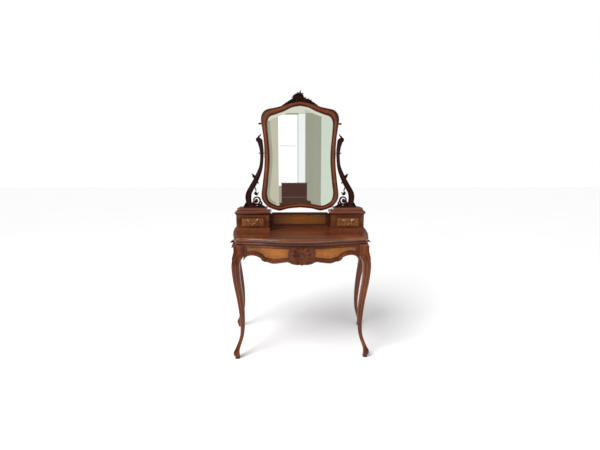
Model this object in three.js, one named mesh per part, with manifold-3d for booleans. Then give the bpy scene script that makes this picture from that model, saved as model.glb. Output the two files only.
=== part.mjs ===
// A French-style mahogany vanity table with a tilting mirror, in millimetres, +Z up.
// X runs across the table and -Y is the sitter's side. The origin is the middle of its box, on the floor.
import * as THREE from 'three';
import { mergeVertices } from 'three/addons/utils/BufferGeometryUtils.js';
import Module from 'manifold-3d';

const wasm = await Module();
wasm.setup();

// ---------------------------------------------------------------- driving dimensions

const gap = 0.3; // glue line between two fixed pieces
const slideGap = 1.2; // play around a drawer
const swingGap = 3.2; // play between the mirror and what it swings past

const tableHeight = 740; // floor to writing surface
const tableDepth = 520; // crown of the bowed front to the back edge
const slab = 24; // table top board
const slabEdgeRound = 7;
const underMoulding = 18; // moulding under the top board
const underMouldingSetIn = 9;
const underMouldingWidth = 30;
const frontBow = 66; // how far the middle of the front stands before its corners
const cornerRadius = 24;
const sideFlare = 70; // how much wider the top is at the back than at the front, each side

const mirrorWidth = 524; // across the lower corners of the frame
const mirrorHeight = 730; // lowest lobe to the arch behind the crest
const mirrorDepth = 28; // frame, front to back
const mirrorSetIn = 80; // mirror's middle plane in front of the backs of the boxes
const mirrorWaist = 0.907; // narrowest part of the frame as a share of its width
const mirrorLift = 20; // lowest lobe above the back panel
const rebate = 7; // how far the glass sits behind the frame's face
const rebateLap = 6; // how far the glass reaches under the moulding
const glassThickness = 4;
const boardThickness = 6;
const crestHeight = 60; // crest above the frame's arch
const crestThickness = 22;

const boxWidth = 218; // trinket box body, side to side
const boxHeight = 103; // plinth to the top of the carcass
const boxDepth = 150;
const boxBackSetIn = 20; // back of the boxes to the back edge of the table
const boxSideSetIn = 40; // side of a box to the end of the table top
const boxWall = 10;
const pilasterWidth = 30; // fixed strip each side of the drawer
const boxFloor = 3; // wood under the drawer
const boxTopRail = 16; // wood over the drawer
const plinthHeight = 18;
const plinthSpread = 6;
const corniceHeight = 17;
const corniceSpread = 12;
const capHeight = 28;
const capSlope = 14; // how far the top of the cap stands in from its base

const drawerFrontThickness = 14;
const drawerBow = 6; // crown of the drawer front
const drawerSideThickness = 7;
const drawerBottomThickness = 4;
const drawerTailRoom = 10; // room behind a closed drawer

const backPanelDrop = 3; // top of the back panel below the top of the box carcasses
const backPanelThickness = 14;
const backMouldingHeight = 18;
const backMouldingDepth = 10;
const cappingHeight = 6;
const cappingOverhang = 5; // capping beyond the panel's face

const stile = 52; // square top of each leg
const stileSetIn = 4; // stile behind the edge of the top
const kneeOut = 17.5; // knee beyond the stile
const kneeHeight = 570;
const ankleIn = 28; // ankle behind the stile
const ankleWidth = 27;
const ankleHeight = 175;
const toeOut = 19; // toe beyond the stile
const toeHeight = 34;
const soleWidth = 30;
const footLean = 8; // how much further forward the front feet stand than sideways
const backFootSetIn = 14; // each back leg leans in by this much from knee to sole
const apronTop = tableHeight - slab - underMoulding - 2 * gap;
const apronHeight = 106; // deepest point of the front apron
const apronThickness = 22;
const apronSetIn = 15; // apron face behind the edge of the top
const glueBlock = 34;
const glueBlockHeight = 52;

const standardThickness = 24;
const pivotShare = 0.526; // swivel above the lowest lobe, as a share of the mirror's height
const pivotRadius = 3.5;
const pivotClearance = 0.4;
const standardNeck = 19; // width of a standard where the swivel passes through it
const finialHeight = 124; // tip of a standard above the swivel
const scrollRadius = 30; // volute at the foot of a standard
const scrollSetIn = 21.8; // centre of the volute inside the middle of the box
const scrollLift = 48; // centre of the volute above the cap of the box
const standardFoot = 12; // thickness of the foot under a standard
const footInner = 81; // how far the foot reaches in from the middle of the box
const footOuter = 68; // and out
const stemReach = 76; // how far the stem swings out from its inner edge to the middle of the box
const pinDepth = 16; // swivel pin inside the frame
const swivelPlate = [3, 18, 62]; // thickness, width and height of the plate let into the frame
const knobRadius = 5.5;

const handleSpan = 56; // between the two posts of a drawer handle
const handleDrop = 26;
const handleStandOff = 9; // bail in front of the drawer's crown
const postRadius = 4.5;
const bailRadius = 2.1;

// ---------------------------------------------------------------- sizes worked out from them

const backY = tableDepth / 2;
const crownY = -tableDepth / 2;
const frontCornerY = crownY + frontBow;
const mirrorHalf = mirrorWidth / 2;
const waistHalf = mirrorHalf * mirrorWaist;
const backPanelHeight = boxHeight - backPanelDrop;
const lobeZ = tableHeight + backPanelHeight + cappingHeight + mirrorLift;
const archZ = lobeZ + mirrorHeight;
const pivotZ = lobeZ + pivotShare * mirrorHeight;

const capTopZ = tableHeight + boxHeight + corniceHeight + capHeight + 3 * gap;
const standardFootZ = capTopZ + gap;
const scrollX = mirrorHalf + swingGap + scrollRadius;
const boxMiddleX = scrollX + scrollSetIn;
const boxInnerX = boxMiddleX - boxWidth / 2;
const boxOuterX = boxMiddleX + boxWidth / 2;
const boxBackY = backY - boxBackSetIn;
const boxFrontY = boxBackY - boxDepth;
const mirrorY = boxBackY - mirrorSetIn;
const backHalf = boxOuterX + boxSideSetIn;
const frontHalf = backHalf - sideFlare;
const standardInnerX = waistHalf + swingGap;

// ---------------------------------------------------------------- materials and small helpers

function finish(color, roughness, metalness) {
  return () => new THREE.MeshStandardMaterial({ color, roughness, metalness });
}
const mahogany = finish(0x6b2f1a, 0.32, 0);
const panelMahogany = finish(0x8a4f22, 0.3, 0);
const darkMahogany = finish(0x3a1a14, 0.35, 0);
const drawerLining = finish(0xa87b4a, 0.6, 0);
const brass = finish(0xb8944e, 0.3, 1);
const silvered = finish(0xdfe4e2, 0.04, 1);

const vanity = new THREE.Group();

function add(name, geometry, material) {
  const mesh = new THREE.Mesh(geometry, material());
  mesh.name = name;
  vanity.add(mesh);
}

const mergeDistance = 1e-3; // corners this close are one corner

function toSolid(geometry) {
  const bare = geometry.clone();
  bare.deleteAttribute('normal');
  bare.deleteAttribute('uv');
  const merged = mergeVertices(bare, mergeDistance);
  const corners = merged.index.array;
  const triangles = [];
  for (let i = 0; i < corners.length; i += 3) {
    const [a, b, c] = corners.subarray(i, i + 3);
    if (a !== b && b !== c && c !== a) {
      triangles.push(a, b, c); // a turned piece has flat triangles on its axis, left out here
    }
  }
  return new wasm.Manifold(new wasm.Mesh({
    numProp: 3,
    vertProperties: new Float32Array(merged.attributes.position.array),
    triVerts: new Uint32Array(triangles),
  }));
}

function toGeometry(solid) {
  const mesh = solid.getMesh();
  const geometry = new THREE.BufferGeometry();
  geometry.setAttribute('position', new THREE.BufferAttribute(new Float32Array(mesh.vertProperties), 3));
  geometry.setIndex(new THREE.BufferAttribute(new Uint32Array(mesh.triVerts), 1));
  geometry.computeVertexNormals();
  return geometry;
}

const cut = (geometry, ...tools) => toGeometry(
  tools.reduce((rest, tool) => rest.subtract(toSolid(tool)), toSolid(geometry)));
const common = (first, second) => toGeometry(toSolid(first).intersect(toSolid(second)));
const join = (...pieces) => toGeometry(
  pieces.slice(1).reduce((sum, piece) => sum.add(toSolid(piece)), toSolid(pieces[0])));

// A box between two corners.
function block(x0, x1, y0, y1, z0, z1) {
  const geometry = new THREE.BoxGeometry(Math.abs(x1 - x0), y1 - y0, z1 - z0);
  return geometry.translate((x0 + x1) / 2, (y0 + y1) / 2, (z0 + z1) / 2);
}

// A shape extruded to depth, its edges rounded by round within the depth and the outline.
function extrude(shape, depth, round = 0, curveSegments = 10) {
  const geometry = new THREE.ExtrudeGeometry(shape, {
    depth: depth - 2 * round,
    curveSegments,
    bevelEnabled: round > 0,
    bevelThickness: round,
    bevelSize: round,
    bevelOffset: -round,
    bevelSegments: 2,
  });
  return geometry.translate(0, 0, round);
}

// Seen from above: the shape lies in X and Y and rises from z.
function plan(shape, z, height, round, curveSegments) {
  return extrude(shape, height, round, curveSegments).translate(0, 0, z);
}

// Seen from the front: the shape lies in X and Z and runs from yFront to yBack.
function elevation(shape, yFront, yBack, round, curveSegments) {
  const turn = new THREE.Matrix4().makeBasis(
    new THREE.Vector3(1, 0, 0), new THREE.Vector3(0, 0, 1), new THREE.Vector3(0, -1, 0));
  return extrude(shape, yBack - yFront, round, curveSegments).applyMatrix4(turn).translate(0, yBack, 0);
}

// Seen from the side: the shape lies in Y and Z and runs from xLow to xHigh.
function sideElevation(shape, xLow, xHigh, round, curveSegments) {
  const turn = new THREE.Matrix4().makeBasis(
    new THREE.Vector3(0, 1, 0), new THREE.Vector3(0, 0, 1), new THREE.Vector3(1, 0, 0));
  return extrude(shape, xHigh - xLow, round, curveSegments).applyMatrix4(turn).translate(xLow, 0, 0);
}

// A turned piece: profile is [radius, place along the axis], the axis runs along X from x.
function turnedAlongX(profile, x, y, z, side) {
  const points = profile.map(([radius, along]) => new THREE.Vector2(radius, along));
  const geometry = new THREE.LatheGeometry(points, 14);
  return geometry.rotateZ(-side * Math.PI / 2).translate(x, y, z);
}

const rectangle = (x0, x1, y0, y1) => new THREE.Shape(
  [[x0, y0], [x1, y0], [x1, y1], [x0, y1]].map(([x, y]) => new THREE.Vector2(x, y)));

// Points moved to the left of their path by distance.
function shifted(points, distance) {
  return points.map((point, i) => {
    const before = points[Math.max(i - 1, 0)];
    const after = points[Math.min(i + 1, points.length - 1)];
    const along = after.clone().sub(before).normalize();
    return new THREE.Vector2(point.x - along.y * distance, point.y + along.x * distance);
  });
}

const spline = (points, divisions) => new THREE.SplineCurve(
  points.map(([x, y]) => new THREE.Vector2(x, y))).getPoints(divisions);

// ---------------------------------------------------------------- plan of the table top

// Right half of the front edge, from the crown of the bow to the rounded corner.
function frontEdge() {
  const path = new THREE.Path();
  path.moveTo(0, crownY);
  const straightX = frontHalf - 46;
  path.bezierCurveTo(
    straightX * 0.46, crownY, straightX * 0.72, frontCornerY - 4, straightX, frontCornerY + 2);
  return path.getPoints(14);
}

// Right side of the top, from the rounded corner to the back.
function sideEdge() {
  const path = new THREE.Path();
  const length = backY - frontCornerY;
  path.moveTo(frontHalf, frontCornerY + cornerRadius);
  path.bezierCurveTo(
    frontHalf + sideFlare * 0.3, frontCornerY + length * 0.23,
    frontHalf + sideFlare * 0.8, frontCornerY + length * 0.56, backHalf, backY);
  return path.getPoints(14);
}

function cornerEdge() {
  const front = frontEdge().at(-1);
  const path = new THREE.Path();
  path.moveTo(front.x, front.y);
  path.quadraticCurveTo(frontHalf - 4, frontCornerY + 3, frontHalf, frontCornerY + cornerRadius);
  return path.getPoints(5);
}

const halfEdge = [...frontEdge(), ...cornerEdge().slice(1, -1), ...sideEdge()];
const mirroredX = (points) => points.map((p) => new THREE.Vector2(-p.x, p.y)).reverse();
const wholeEdge = [...mirroredX(halfEdge).slice(0, -1), ...halfEdge];

// Half width of the top at a place y behind its front corners.
function halfWidthAt(y) {
  const side = sideEdge();
  const next = Math.max(1, side.findIndex((p) => p.y >= y));
  const a = side[next - 1];
  const b = side[next];
  return a.x + (b.x - a.x) * (y - a.y) / (b.y - a.y);
}

// A band that follows the edge of the top, from setIn to setIn + width inside it.
function edgeBand(points, setIn, width) {
  const outside = shifted(points, setIn);
  const inside = shifted(points, setIn + width).reverse();
  return new THREE.Shape([...outside, ...inside]);
}

const slabZ = tableHeight - slab;
add('table_top', plan(new THREE.Shape(wholeEdge), slabZ, slab, slabEdgeRound), mahogany);

// ---------------------------------------------------------------- legs

const frontStileY = frontCornerY + 5; // front faces of the front stiles
const frontStileX = halfWidthAt(frontStileY + stile / 2) - stileSetIn;
const backStileY = backY - 4; // back faces of the back stiles
const backStileX = halfWidthAt(backStileY - stile / 2) - stileSetIn;

// Cabriole outline, seen square on: each point is how far out from the stile's outer face, and how high.
// The flat outline is for the back of a back leg, which stays near the wall.
const cabrioleOuter = [
  [0, apronTop - 40], [kneeOut * 0.62, kneeHeight + 48], [kneeOut, kneeHeight],
  [kneeOut * 0.7, kneeHeight - 80], [-kneeOut * 0.35, kneeHeight - 200],
  [-ankleIn + 4, ankleHeight + 100], [-ankleIn + 2, ankleHeight + 20], [-ankleIn, ankleHeight],
  [-ankleIn * 0.55, ankleHeight - 65], [toeOut * 0.3, toeHeight + 30], [toeOut, toeHeight],
  [toeOut * 0.7, 12], [toeOut * 0.2, 0],
];
const cabrioleInner = [
  [toeOut * 0.2 - soleWidth, 0], [toeOut - soleWidth - 12, toeHeight],
  [-ankleIn * 0.5 - ankleWidth, ankleHeight - 85], [-ankleIn - ankleWidth, ankleHeight],
  [-ankleIn - ankleWidth - 4, ankleHeight + 90], [-stile * 0.98, kneeHeight - 210],
  [-stile * 0.76, kneeHeight - 100], [-stile * 0.68, kneeHeight - 20], [-stile * 0.8, kneeHeight + 24],
  [-stile + 1, kneeHeight + 48],
];
const flatOuter = [[0, kneeHeight], [-6, ankleHeight], [-2, toeHeight], [-2, 0]];
const flatInner = [
  [-soleWidth - 2, 0], [-soleWidth - 2, toeHeight], [-6 - ankleWidth, ankleHeight],
  [-stile * 0.86, kneeHeight - 60], [-stile + 1, kneeHeight + 48],
];

function legOutline(outer, inner, face, outward, lean) {
  const place = ([out, z]) => [face + outward * (out + lean * Math.max(0, 1 - z / kneeHeight)), z];
  return new THREE.Shape([
    new THREE.Vector2(face, apronTop),
    ...spline(outer.map(place), 26),
    ...spline(inner.map(place), 20),
    new THREE.Vector2(face - outward * stile, apronTop),
  ]);
}

// Each leg is sawn from a square blank along its front and its side outline.
function leg(side, front) {
  const faceX = side * (front ? frontStileX : backStileX);
  const faceY = front ? frontStileY : backStileY;
  const reach = 2 * stile;
  const fromFront = elevation(
    legOutline(cabrioleOuter, cabrioleInner, faceX, side, front ? 0 : -backFootSetIn),
    faceY - reach, faceY + reach);
  const sideOutline = front
    ? legOutline(cabrioleOuter, cabrioleInner, faceY, -1, footLean)
    : legOutline(flatOuter, flatInner, faceY, 1, 0);
  return common(fromFront, sideElevation(sideOutline, faceX - reach, faceX + reach));
}

for (const [word, side] of [['left', -1], ['right', 1]]) {
  add(`front_${word}_leg`, leg(side, true), mahogany);
  add(`back_${word}_leg`, leg(side, false), mahogany);
}

// ---------------------------------------------------------------- aprons, mouldings and glue blocks

const blankTop = apronTop + 1;
const stileBox = (side, front) => {
  const outerX = front ? frontStileX : backStileX;
  const y0 = front ? frontStileY : backStileY - stile;
  const inside = outerX - stile - gap;
  return block(side * inside, side * (outerX + stile), y0 - stile, y0 + stile + gap, 0, blankTop);
};

// Lower edge of the front apron: an arch by each leg, a lobe, then a drop at the middle.
function frontApronShape() {
  const end = frontStileX - stile;
  const low = apronTop - apronHeight;
  const rightEdge = [
    [0, low + 6], [end * 0.23, low + 14], [end * 0.47, low], [end * 0.61, low + 10],
    [end * 0.7, low + 30], [end * 0.82, low + 38], [end * 0.93, low + 28], [end + 4, low + 4],
  ];
  const edge = spline(rightEdge, 26);
  return new THREE.Shape([
    ...mirroredX(edge).slice(0, -1),
    ...edge,
    new THREE.Vector2(end + 40, low + 4),
    new THREE.Vector2(end + 40, apronTop),
    new THREE.Vector2(-end - 40, apronTop),
    new THREE.Vector2(-end - 40, low + 4),
  ]);
}

const frontHalfEdge = frontEdge();
const frontWholeEdge = [...mirroredX(frontHalfEdge).slice(0, -1), ...frontHalfEdge];
const apronBlank = plan(edgeBand(frontWholeEdge, apronSetIn, apronThickness), 0, apronTop);
add('front_apron', cut(
  common(apronBlank, elevation(frontApronShape(), crownY - 10, frontCornerY + 100)),
  stileBox(-1, true), stileBox(1, true)), panelMahogany);

// Lower edge of a side apron: two arches meeting in a middle drop.
function sideApronShape() {
  const y0 = frontStileY + stile + gap;
  const y1 = backStileY - stile - gap;
  const low = apronTop - apronHeight;
  const middle = (y0 + y1) / 2;
  const reach = (y1 - y0) / 2;
  const lower = [
    [y0, low + 4], [middle - reach * 0.72, low + 38], [middle - reach * 0.34, low + 24],
    [middle, low + 8], [middle + reach * 0.34, low + 24], [middle + reach * 0.72, low + 38], [y1, low + 4],
  ];
  return new THREE.Shape([
    ...spline(lower, 24),
    new THREE.Vector2(y1, apronTop),
    new THREE.Vector2(y0, apronTop),
  ]);
}

for (const [word, side] of [['left', -1], ['right', 1]]) {
  const edge = side > 0 ? sideEdge() : mirroredX(sideEdge());
  const band = plan(edgeBand(edge, apronSetIn, apronThickness), 0, apronTop);
  const boards = sideElevation(
    sideApronShape(), side > 0 ? 0 : -2 * backHalf, side > 0 ? 2 * backHalf : 0);
  add(`${word}_apron`, common(band, boards), panelMahogany);
}

const railHeight = 80;
const railTop = tableHeight - slab - gap;
const railEndX = backStileX - stile - gap;
add('back_rail', block(
  -railEndX, railEndX, backStileY - apronThickness, backStileY, apronTop - railHeight, railTop), mahogany);

// Moulding under the top: a bowed front length that the two side lengths butt against.
const mouldingZ = apronTop + gap;
const mouldingButtY = frontCornerY + underMouldingWidth + cornerRadius / 2;
const mouldingPlan = plan(new THREE.Shape(shifted(wholeEdge, underMouldingSetIn)), mouldingZ, underMoulding);
add('front_top_moulding', common(mouldingPlan, block(
  -2 * backHalf, 2 * backHalf, crownY - 10, mouldingButtY - gap, mouldingZ - 1, tableHeight)), mahogany);
for (const [word, side] of [['left', -1], ['right', 1]]) {
  const edge = side > 0 ? sideEdge() : mirroredX(sideEdge());
  const band = plan(edgeBand(edge, underMouldingSetIn, underMouldingWidth), mouldingZ, underMoulding);
  add(`${word}_top_moulding`, common(band, block(
    -2 * backHalf, 2 * backHalf, mouldingButtY, backY, mouldingZ - 1, tableHeight)), mahogany);
}

// A three-cornered block behind each stile, glued to both aprons.
function cornerBlock(side, front) {
  const outerX = front ? frontStileX - stile - 2 : backStileX - stile - 2;
  const y = front ? frontStileY + stile + 2 : backStileY - stile - 2;
  const turn = front ? 1 : -1;
  const shape = new THREE.Shape([
    new THREE.Vector2(side * outerX, y),
    new THREE.Vector2(side * (outerX - glueBlock), y),
    new THREE.Vector2(side * outerX, y + turn * glueBlock),
  ]);
  return plan(shape, apronTop - glueBlockHeight, glueBlockHeight - gap);
}
for (const [word, side] of [['left', -1], ['right', 1]]) {
  add(`front_${word}_glue_block`, cornerBlock(side, true), drawerLining);
  add(`back_${word}_glue_block`, cornerBlock(side, false), drawerLining);
}

// ---------------------------------------------------------------- outline of the mirror frame

// Right halves of the frame's outer and inner edges, from the arch to the middle of the bottom: a pointed
// arch, round shoulders, a waist, full corners, two lobes. Points are shares of the half width and the height.
const outerHalf = [
  [0, 0.9945], [0.26, 0.974], [0.5, 0.938], [0.664, 0.9247], [0.855, 0.908], [0.954, 0.8726],
  [0.985, 0.8205], [0.954, 0.733], [0.925, 0.65], [0.907, 0.52], [0.919, 0.393], [0.967, 0.247],
  [1, 0.155], [0.985, 0.105], [0.9, 0.058], [0.782, 0.0247], [0.603, 0.003], [0.504, 0], [0.3, 0.019],
  [0, 0.029],
];
const innerHalf = [
  [0, 0.941], [0.2, 0.928], [0.4, 0.8945], [0.603, 0.868], [0.74, 0.851], [0.81, 0.818], [0.824, 0.77],
  [0.808, 0.68], [0.779, 0.5575], [0.775, 0.467], [0.786, 0.3945], [0.83, 0.24], [0.855, 0.165],
  [0.83, 0.11], [0.775, 0.0795], [0.65, 0.0545], [0.55, 0.047], [0.4, 0.056], [0.2, 0.07], [0, 0.0726],
];

// A closed curve from one of those halves, spread outwards by a distance.
function frameCurve(halfShares, outwards) {
  const half = spline(halfShares.map(([x, z]) => [x * mirrorHalf, lobeZ + z * mirrorHeight]), 50);
  half[0].x = 0;
  half.at(-1).x = 0;
  const ring = [...half, ...mirroredX(half).slice(1, -1)];
  const wrapped = [ring.at(-1), ...ring, ring[0]];
  return shifted(wrapped, outwards).slice(1, -1);
}

// Half width of the frame at a height.
function frameHalfAt(z) {
  const edge = frameCurve(outerHalf, 0);
  const crossings = edge.slice(1).map((b, i) => [edge[i], b]).filter(([a, b]) => (a.y - z) * (b.y - z) <= 0);
  return Math.max(...crossings.map(([a, b]) => a.x + (b.x - a.x) * (z - a.y) / (b.y - a.y || 1)));
}

// Widest half of the frame below a height.
const frameHalfBelow = (z) => Math.max(
  ...frameCurve(outerHalf, 0).filter((point) => point.y < z).map((point) => point.x));

// ---------------------------------------------------------------- carved cartouches on the aprons

// A shield of leaves: a broad shell above, pointed leaves below.
function cartoucheShape(middle, top, width, height) {
  const half = [
    [0, 0], [width * 0.2, -height * 0.03], [width * 0.34, height * 0.1], [width * 0.3, height * 0.3],
    [width * 0.5, height * 0.48], [width * 0.46, height * 0.68], [width * 0.26, height * 0.82],
    [width * 0.2, height * 0.97], [0, height],
  ];
  const right = spline(half, 28);
  return new THREE.Shape(
    [...right, ...mirroredX(right).slice(1, -1)].map((p) => new THREE.Vector2(middle + p.x, top - p.y)));
}

const cartoucheHeight = 96;
const cartoucheDepth = 15;
const frontCartoucheTop = apronTop - 6;
const frontCartoucheBack = crownY + apronSetIn - gap;
add('front_cartouche', elevation(
  cartoucheShape(0, frontCartoucheTop, 104, cartoucheHeight),
  frontCartoucheBack - cartoucheDepth + 1, frontCartoucheBack - 0.5, 3, 4), mahogany);

const sideCartoucheY = (frontStileY + backStileY) / 2 - 14;
const sideCartoucheSize = 84;
const earReach = 32; // how far the top leaf of a side cartouche stands out
const earOutline = new THREE.Shape(
  [[-17, -20], [0, -27], [17, -20], [10, -6], [0, 0], [-10, -6]].map(
    ([y, z]) => new THREE.Vector2(y, apronTop - 5 + z)));
for (const [word, side] of [['left', -1], ['right', 1]]) {
  const face = halfWidthAt(sideCartoucheY) - apronSetIn;
  const slope = Math.atan2(halfWidthAt(sideCartoucheY + 30) - halfWidthAt(sideCartoucheY - 30), 60);
  const shield = cartoucheShape(0, apronTop - 4, sideCartoucheSize, sideCartoucheSize);
  const carving = join(
    sideElevation(shield, 1.6, cartoucheDepth, 3, 4), sideElevation(earOutline, 3, earReach, 4, 4));
  carving.rotateZ(side > 0 ? -slope : Math.PI + slope);
  add(`${word}_cartouche`, carving.translate(side * face, sideCartoucheY, 0), mahogany);
}

// ---------------------------------------------------------------- back panel between the boxes

const deckZ = tableHeight + gap;
const panelHalf = boxInnerX - plinthSpread - gap;
const cappingHalf = boxInnerX - corniceSpread - gap;
const panelFrontY = boxBackY - backPanelThickness;
const panelTopZ = deckZ + backPanelHeight;
const panelStepZ = deckZ + plinthHeight + gap; // above the plinths the panel reaches the boxes themselves
const panelWideHalf = boxInnerX - gap;
add('back_panel', join(
  block(-panelHalf, panelHalf, panelFrontY, boxBackY, deckZ, panelTopZ),
  block(-panelWideHalf, panelWideHalf, panelFrontY, boxBackY, panelStepZ, panelTopZ)), panelMahogany);
add('back_panel_base_moulding', elevation(
  rectangle(-panelHalf, panelHalf, deckZ, deckZ + backMouldingHeight),
  panelFrontY - gap - backMouldingDepth, panelFrontY - gap, 2), mahogany);
add('back_panel_capping', elevation(
  rectangle(-cappingHalf, cappingHalf, panelTopZ + gap, panelTopZ + gap + cappingHeight),
  panelFrontY - cappingOverhang, boxBackY, 1.5), mahogany);

// ---------------------------------------------------------------- trinket boxes and their drawers

// A rectangle with a bowed front, spread beyond the box body on its front and its two ends.
function boxPlan(side, spread, bow) {
  const shape = new THREE.Shape();
  const x0 = boxInnerX - Math.min(spread, corniceSpread);
  const x1 = boxOuterX + spread;
  shape.moveTo(side * x0, boxBackY);
  shape.lineTo(side * x0, boxFrontY - spread);
  shape.quadraticCurveTo(side * boxMiddleX, boxFrontY - spread - 2 * bow, side * x1, boxFrontY - spread);
  shape.lineTo(side * x1, boxBackY);
  return shape;
}

const plinthTopZ = deckZ + plinthHeight;
const carcassZ = plinthTopZ + gap;
const carcassTopZ = deckZ + boxHeight;
const corniceZ = carcassTopZ + gap;
const capZ = corniceZ + corniceHeight + gap;
const capSpread = corniceSpread - 6;
const capBaseHeight = 8;
const capStepX = Math.max(boxInnerX - capSpread + capSlope, frameHalfBelow(capTopZ + 3) + swingGap);
const openingX0 = boxInnerX + pilasterWidth;
const openingX1 = boxOuterX - pilasterWidth;
const openingZ0 = carcassZ + boxFloor;
const openingZ1 = carcassTopZ - boxTopRail;
const openingBackY = boxBackY - boxWall;

const drawerX0 = openingX0 + slideGap;
const drawerX1 = openingX1 - slideGap;
const drawerZ0 = openingZ0 + slideGap;
const drawerZ1 = openingZ1 - slideGap;
const drawerFaceBackY = boxFrontY + drawerFrontThickness - 4;
const drawerTailY = openingBackY - drawerTailRoom;
const drawerMiddleZ = (drawerZ0 + drawerZ1) / 2;

for (const [word, side] of [['left', -1], ['right', 1]]) {
  const across = (a, b) => [Math.min(side * a, side * b), Math.max(side * a, side * b)];
  const piece = (a, b, y0, y1, z0, z1) => block(...across(a, b), y0, y1, z0, z1);

  add(`${word}_box_plinth`, plan(boxPlan(side, plinthSpread, 2), deckZ, plinthHeight, 3, 8), mahogany);

  const body = plan(boxPlan(side, 0, 0), carcassZ, carcassTopZ - carcassZ, 0);
  const opening = piece(openingX0, openingX1, boxFrontY - 5, openingBackY, openingZ0, openingZ1);
  add(`${word}_box_carcass`, cut(body, opening), mahogany);

  add(`${word}_box_cornice`, plan(boxPlan(side, corniceSpread, 2), corniceZ, corniceHeight, 4, 8), mahogany);

  // The cap steps in from a flat base, far enough at its inner end for the mirror's corner to swing past.
  const base = plan(boxPlan(side, capSpread, 2), capZ, capBaseHeight, 0, 8);
  const stepX = [capStepX, boxOuterX + capSpread - capSlope].map((x) => side * x).sort((p, q) => p - q);
  const top = plan(rectangle(...stepX, boxFrontY - capSpread + capSlope, boxBackY - 1),
    capZ, capHeight, 5);
  add(`${word}_box_cap`, join(base, top), mahogany);

  // Drawer: a bowed front and a plain lining of four thin boards.
  const front = new THREE.Shape();
  front.moveTo(side * drawerX0, drawerFaceBackY);
  front.lineTo(side * drawerX0, boxFrontY - 1);
  front.quadraticCurveTo(side * boxMiddleX, boxFrontY - 1 - 2 * drawerBow, side * drawerX1, boxFrontY - 1);
  front.lineTo(side * drawerX1, drawerFaceBackY);
  add(`${word}_drawer_front`, plan(front, drawerZ0, drawerZ1 - drawerZ0, 0, 10), panelMahogany);

  const sideY0 = drawerFaceBackY + gap;
  const innerX = [drawerX0 + 1, drawerX0 + 1 + drawerSideThickness];
  const outerX = [drawerX1 - 1 - drawerSideThickness, drawerX1 - 1];
  const sideTop = drawerZ1 - 6;
  add(`${word}_drawer_inner_side`, piece(...innerX, sideY0, drawerTailY, drawerZ0, sideTop), drawerLining);
  add(`${word}_drawer_outer_side`, piece(...outerX, sideY0, drawerTailY, drawerZ0, sideTop), drawerLining);
  const liningX = [innerX[1] + gap, outerX[0] - gap];
  const tailY = drawerTailY - drawerSideThickness;
  add(`${word}_drawer_back`, piece(...liningX, tailY, drawerTailY, drawerZ0, sideTop - 4), drawerLining);
  const bottomZ = drawerZ0 + 3;
  add(`${word}_drawer_bottom`, piece(
    ...liningX, sideY0, tailY - gap, bottomZ, bottomZ + drawerBottomThickness), drawerLining);

  // Handle: two posts screwed to the drawer front and a bail that hangs between them.
  const crown = boxFrontY - 1 - drawerBow;
  const postZ = drawerMiddleZ + handleDrop / 2;
  const postX = [boxMiddleX - handleSpan / 2, boxMiddleX + handleSpan / 2];
  const bailY = crown - handleStandOff;
  const flange = postRadius * 1.7;
  const nearCrown = Math.max(0, handleSpan / 2 - flange); // where the bowed front first meets a post
  const postBackY = boxFrontY - 1 - drawerBow * (1 - (nearCrown / (drawerX1 - boxMiddleX)) ** 2) - gap;
  const postProfile = [
    [0, 0], [flange, 0], [flange, 1.5], [postRadius * 0.7, 3], [postRadius * 0.7, 4],
    [postRadius, 5], [postRadius, handleStandOff + 4], [postRadius * 0.6, handleStandOff + 6],
    [0, handleStandOff + 6.4],
  ];
  postX.forEach((x, i) => {
    const post = new THREE.LatheGeometry(postProfile.map(([r, h]) => new THREE.Vector2(r, h)), 16);
    post.rotateX(Math.PI).translate(side * x, postBackY, postZ);
    const hole = new THREE.CylinderGeometry(bailRadius + 0.5, bailRadius + 0.5, 6 * postRadius, 12);
    hole.rotateZ(Math.PI / 2).translate(side * (x + (i ? -1 : 1) * 3 * postRadius), bailY, postZ);
    add(`${word}_handle_${i ? 'outer' : 'inner'}_post`, cut(post, hole), brass);
  });
  const bailEnd = handleSpan / 2 - 1.2;
  const at = (x, drop) => new THREE.Vector3(side * (boxMiddleX + x), bailY, postZ - drop);
  const bailCurve = new THREE.CatmullRomCurve3([
    at(-bailEnd, 0), at(-bailEnd + 4.5, 0), at(-bailEnd + 6.5, 5), at(-bailEnd + 2, 12),
    at(-bailEnd * 0.62, handleDrop * 0.82), at(-5, handleDrop * 0.8), at(0, handleDrop),
    at(5, handleDrop * 0.8), at(bailEnd * 0.62, handleDrop * 0.82), at(bailEnd - 2, 12),
    at(bailEnd - 6.5, 5), at(bailEnd - 4.5, 0), at(bailEnd, 0),
  ], false, 'catmullrom', 0.5);
  const ring = new THREE.Shape();
  ring.absarc(0, 0, bailRadius, 0, 2 * Math.PI);
  add(`${word}_handle_bail`, new THREE.ExtrudeGeometry(ring, {
    extrudePath: bailCurve, steps: 44, curveSegments: 4,
  }), brass);
}

// ---------------------------------------------------------------- mirror

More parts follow.
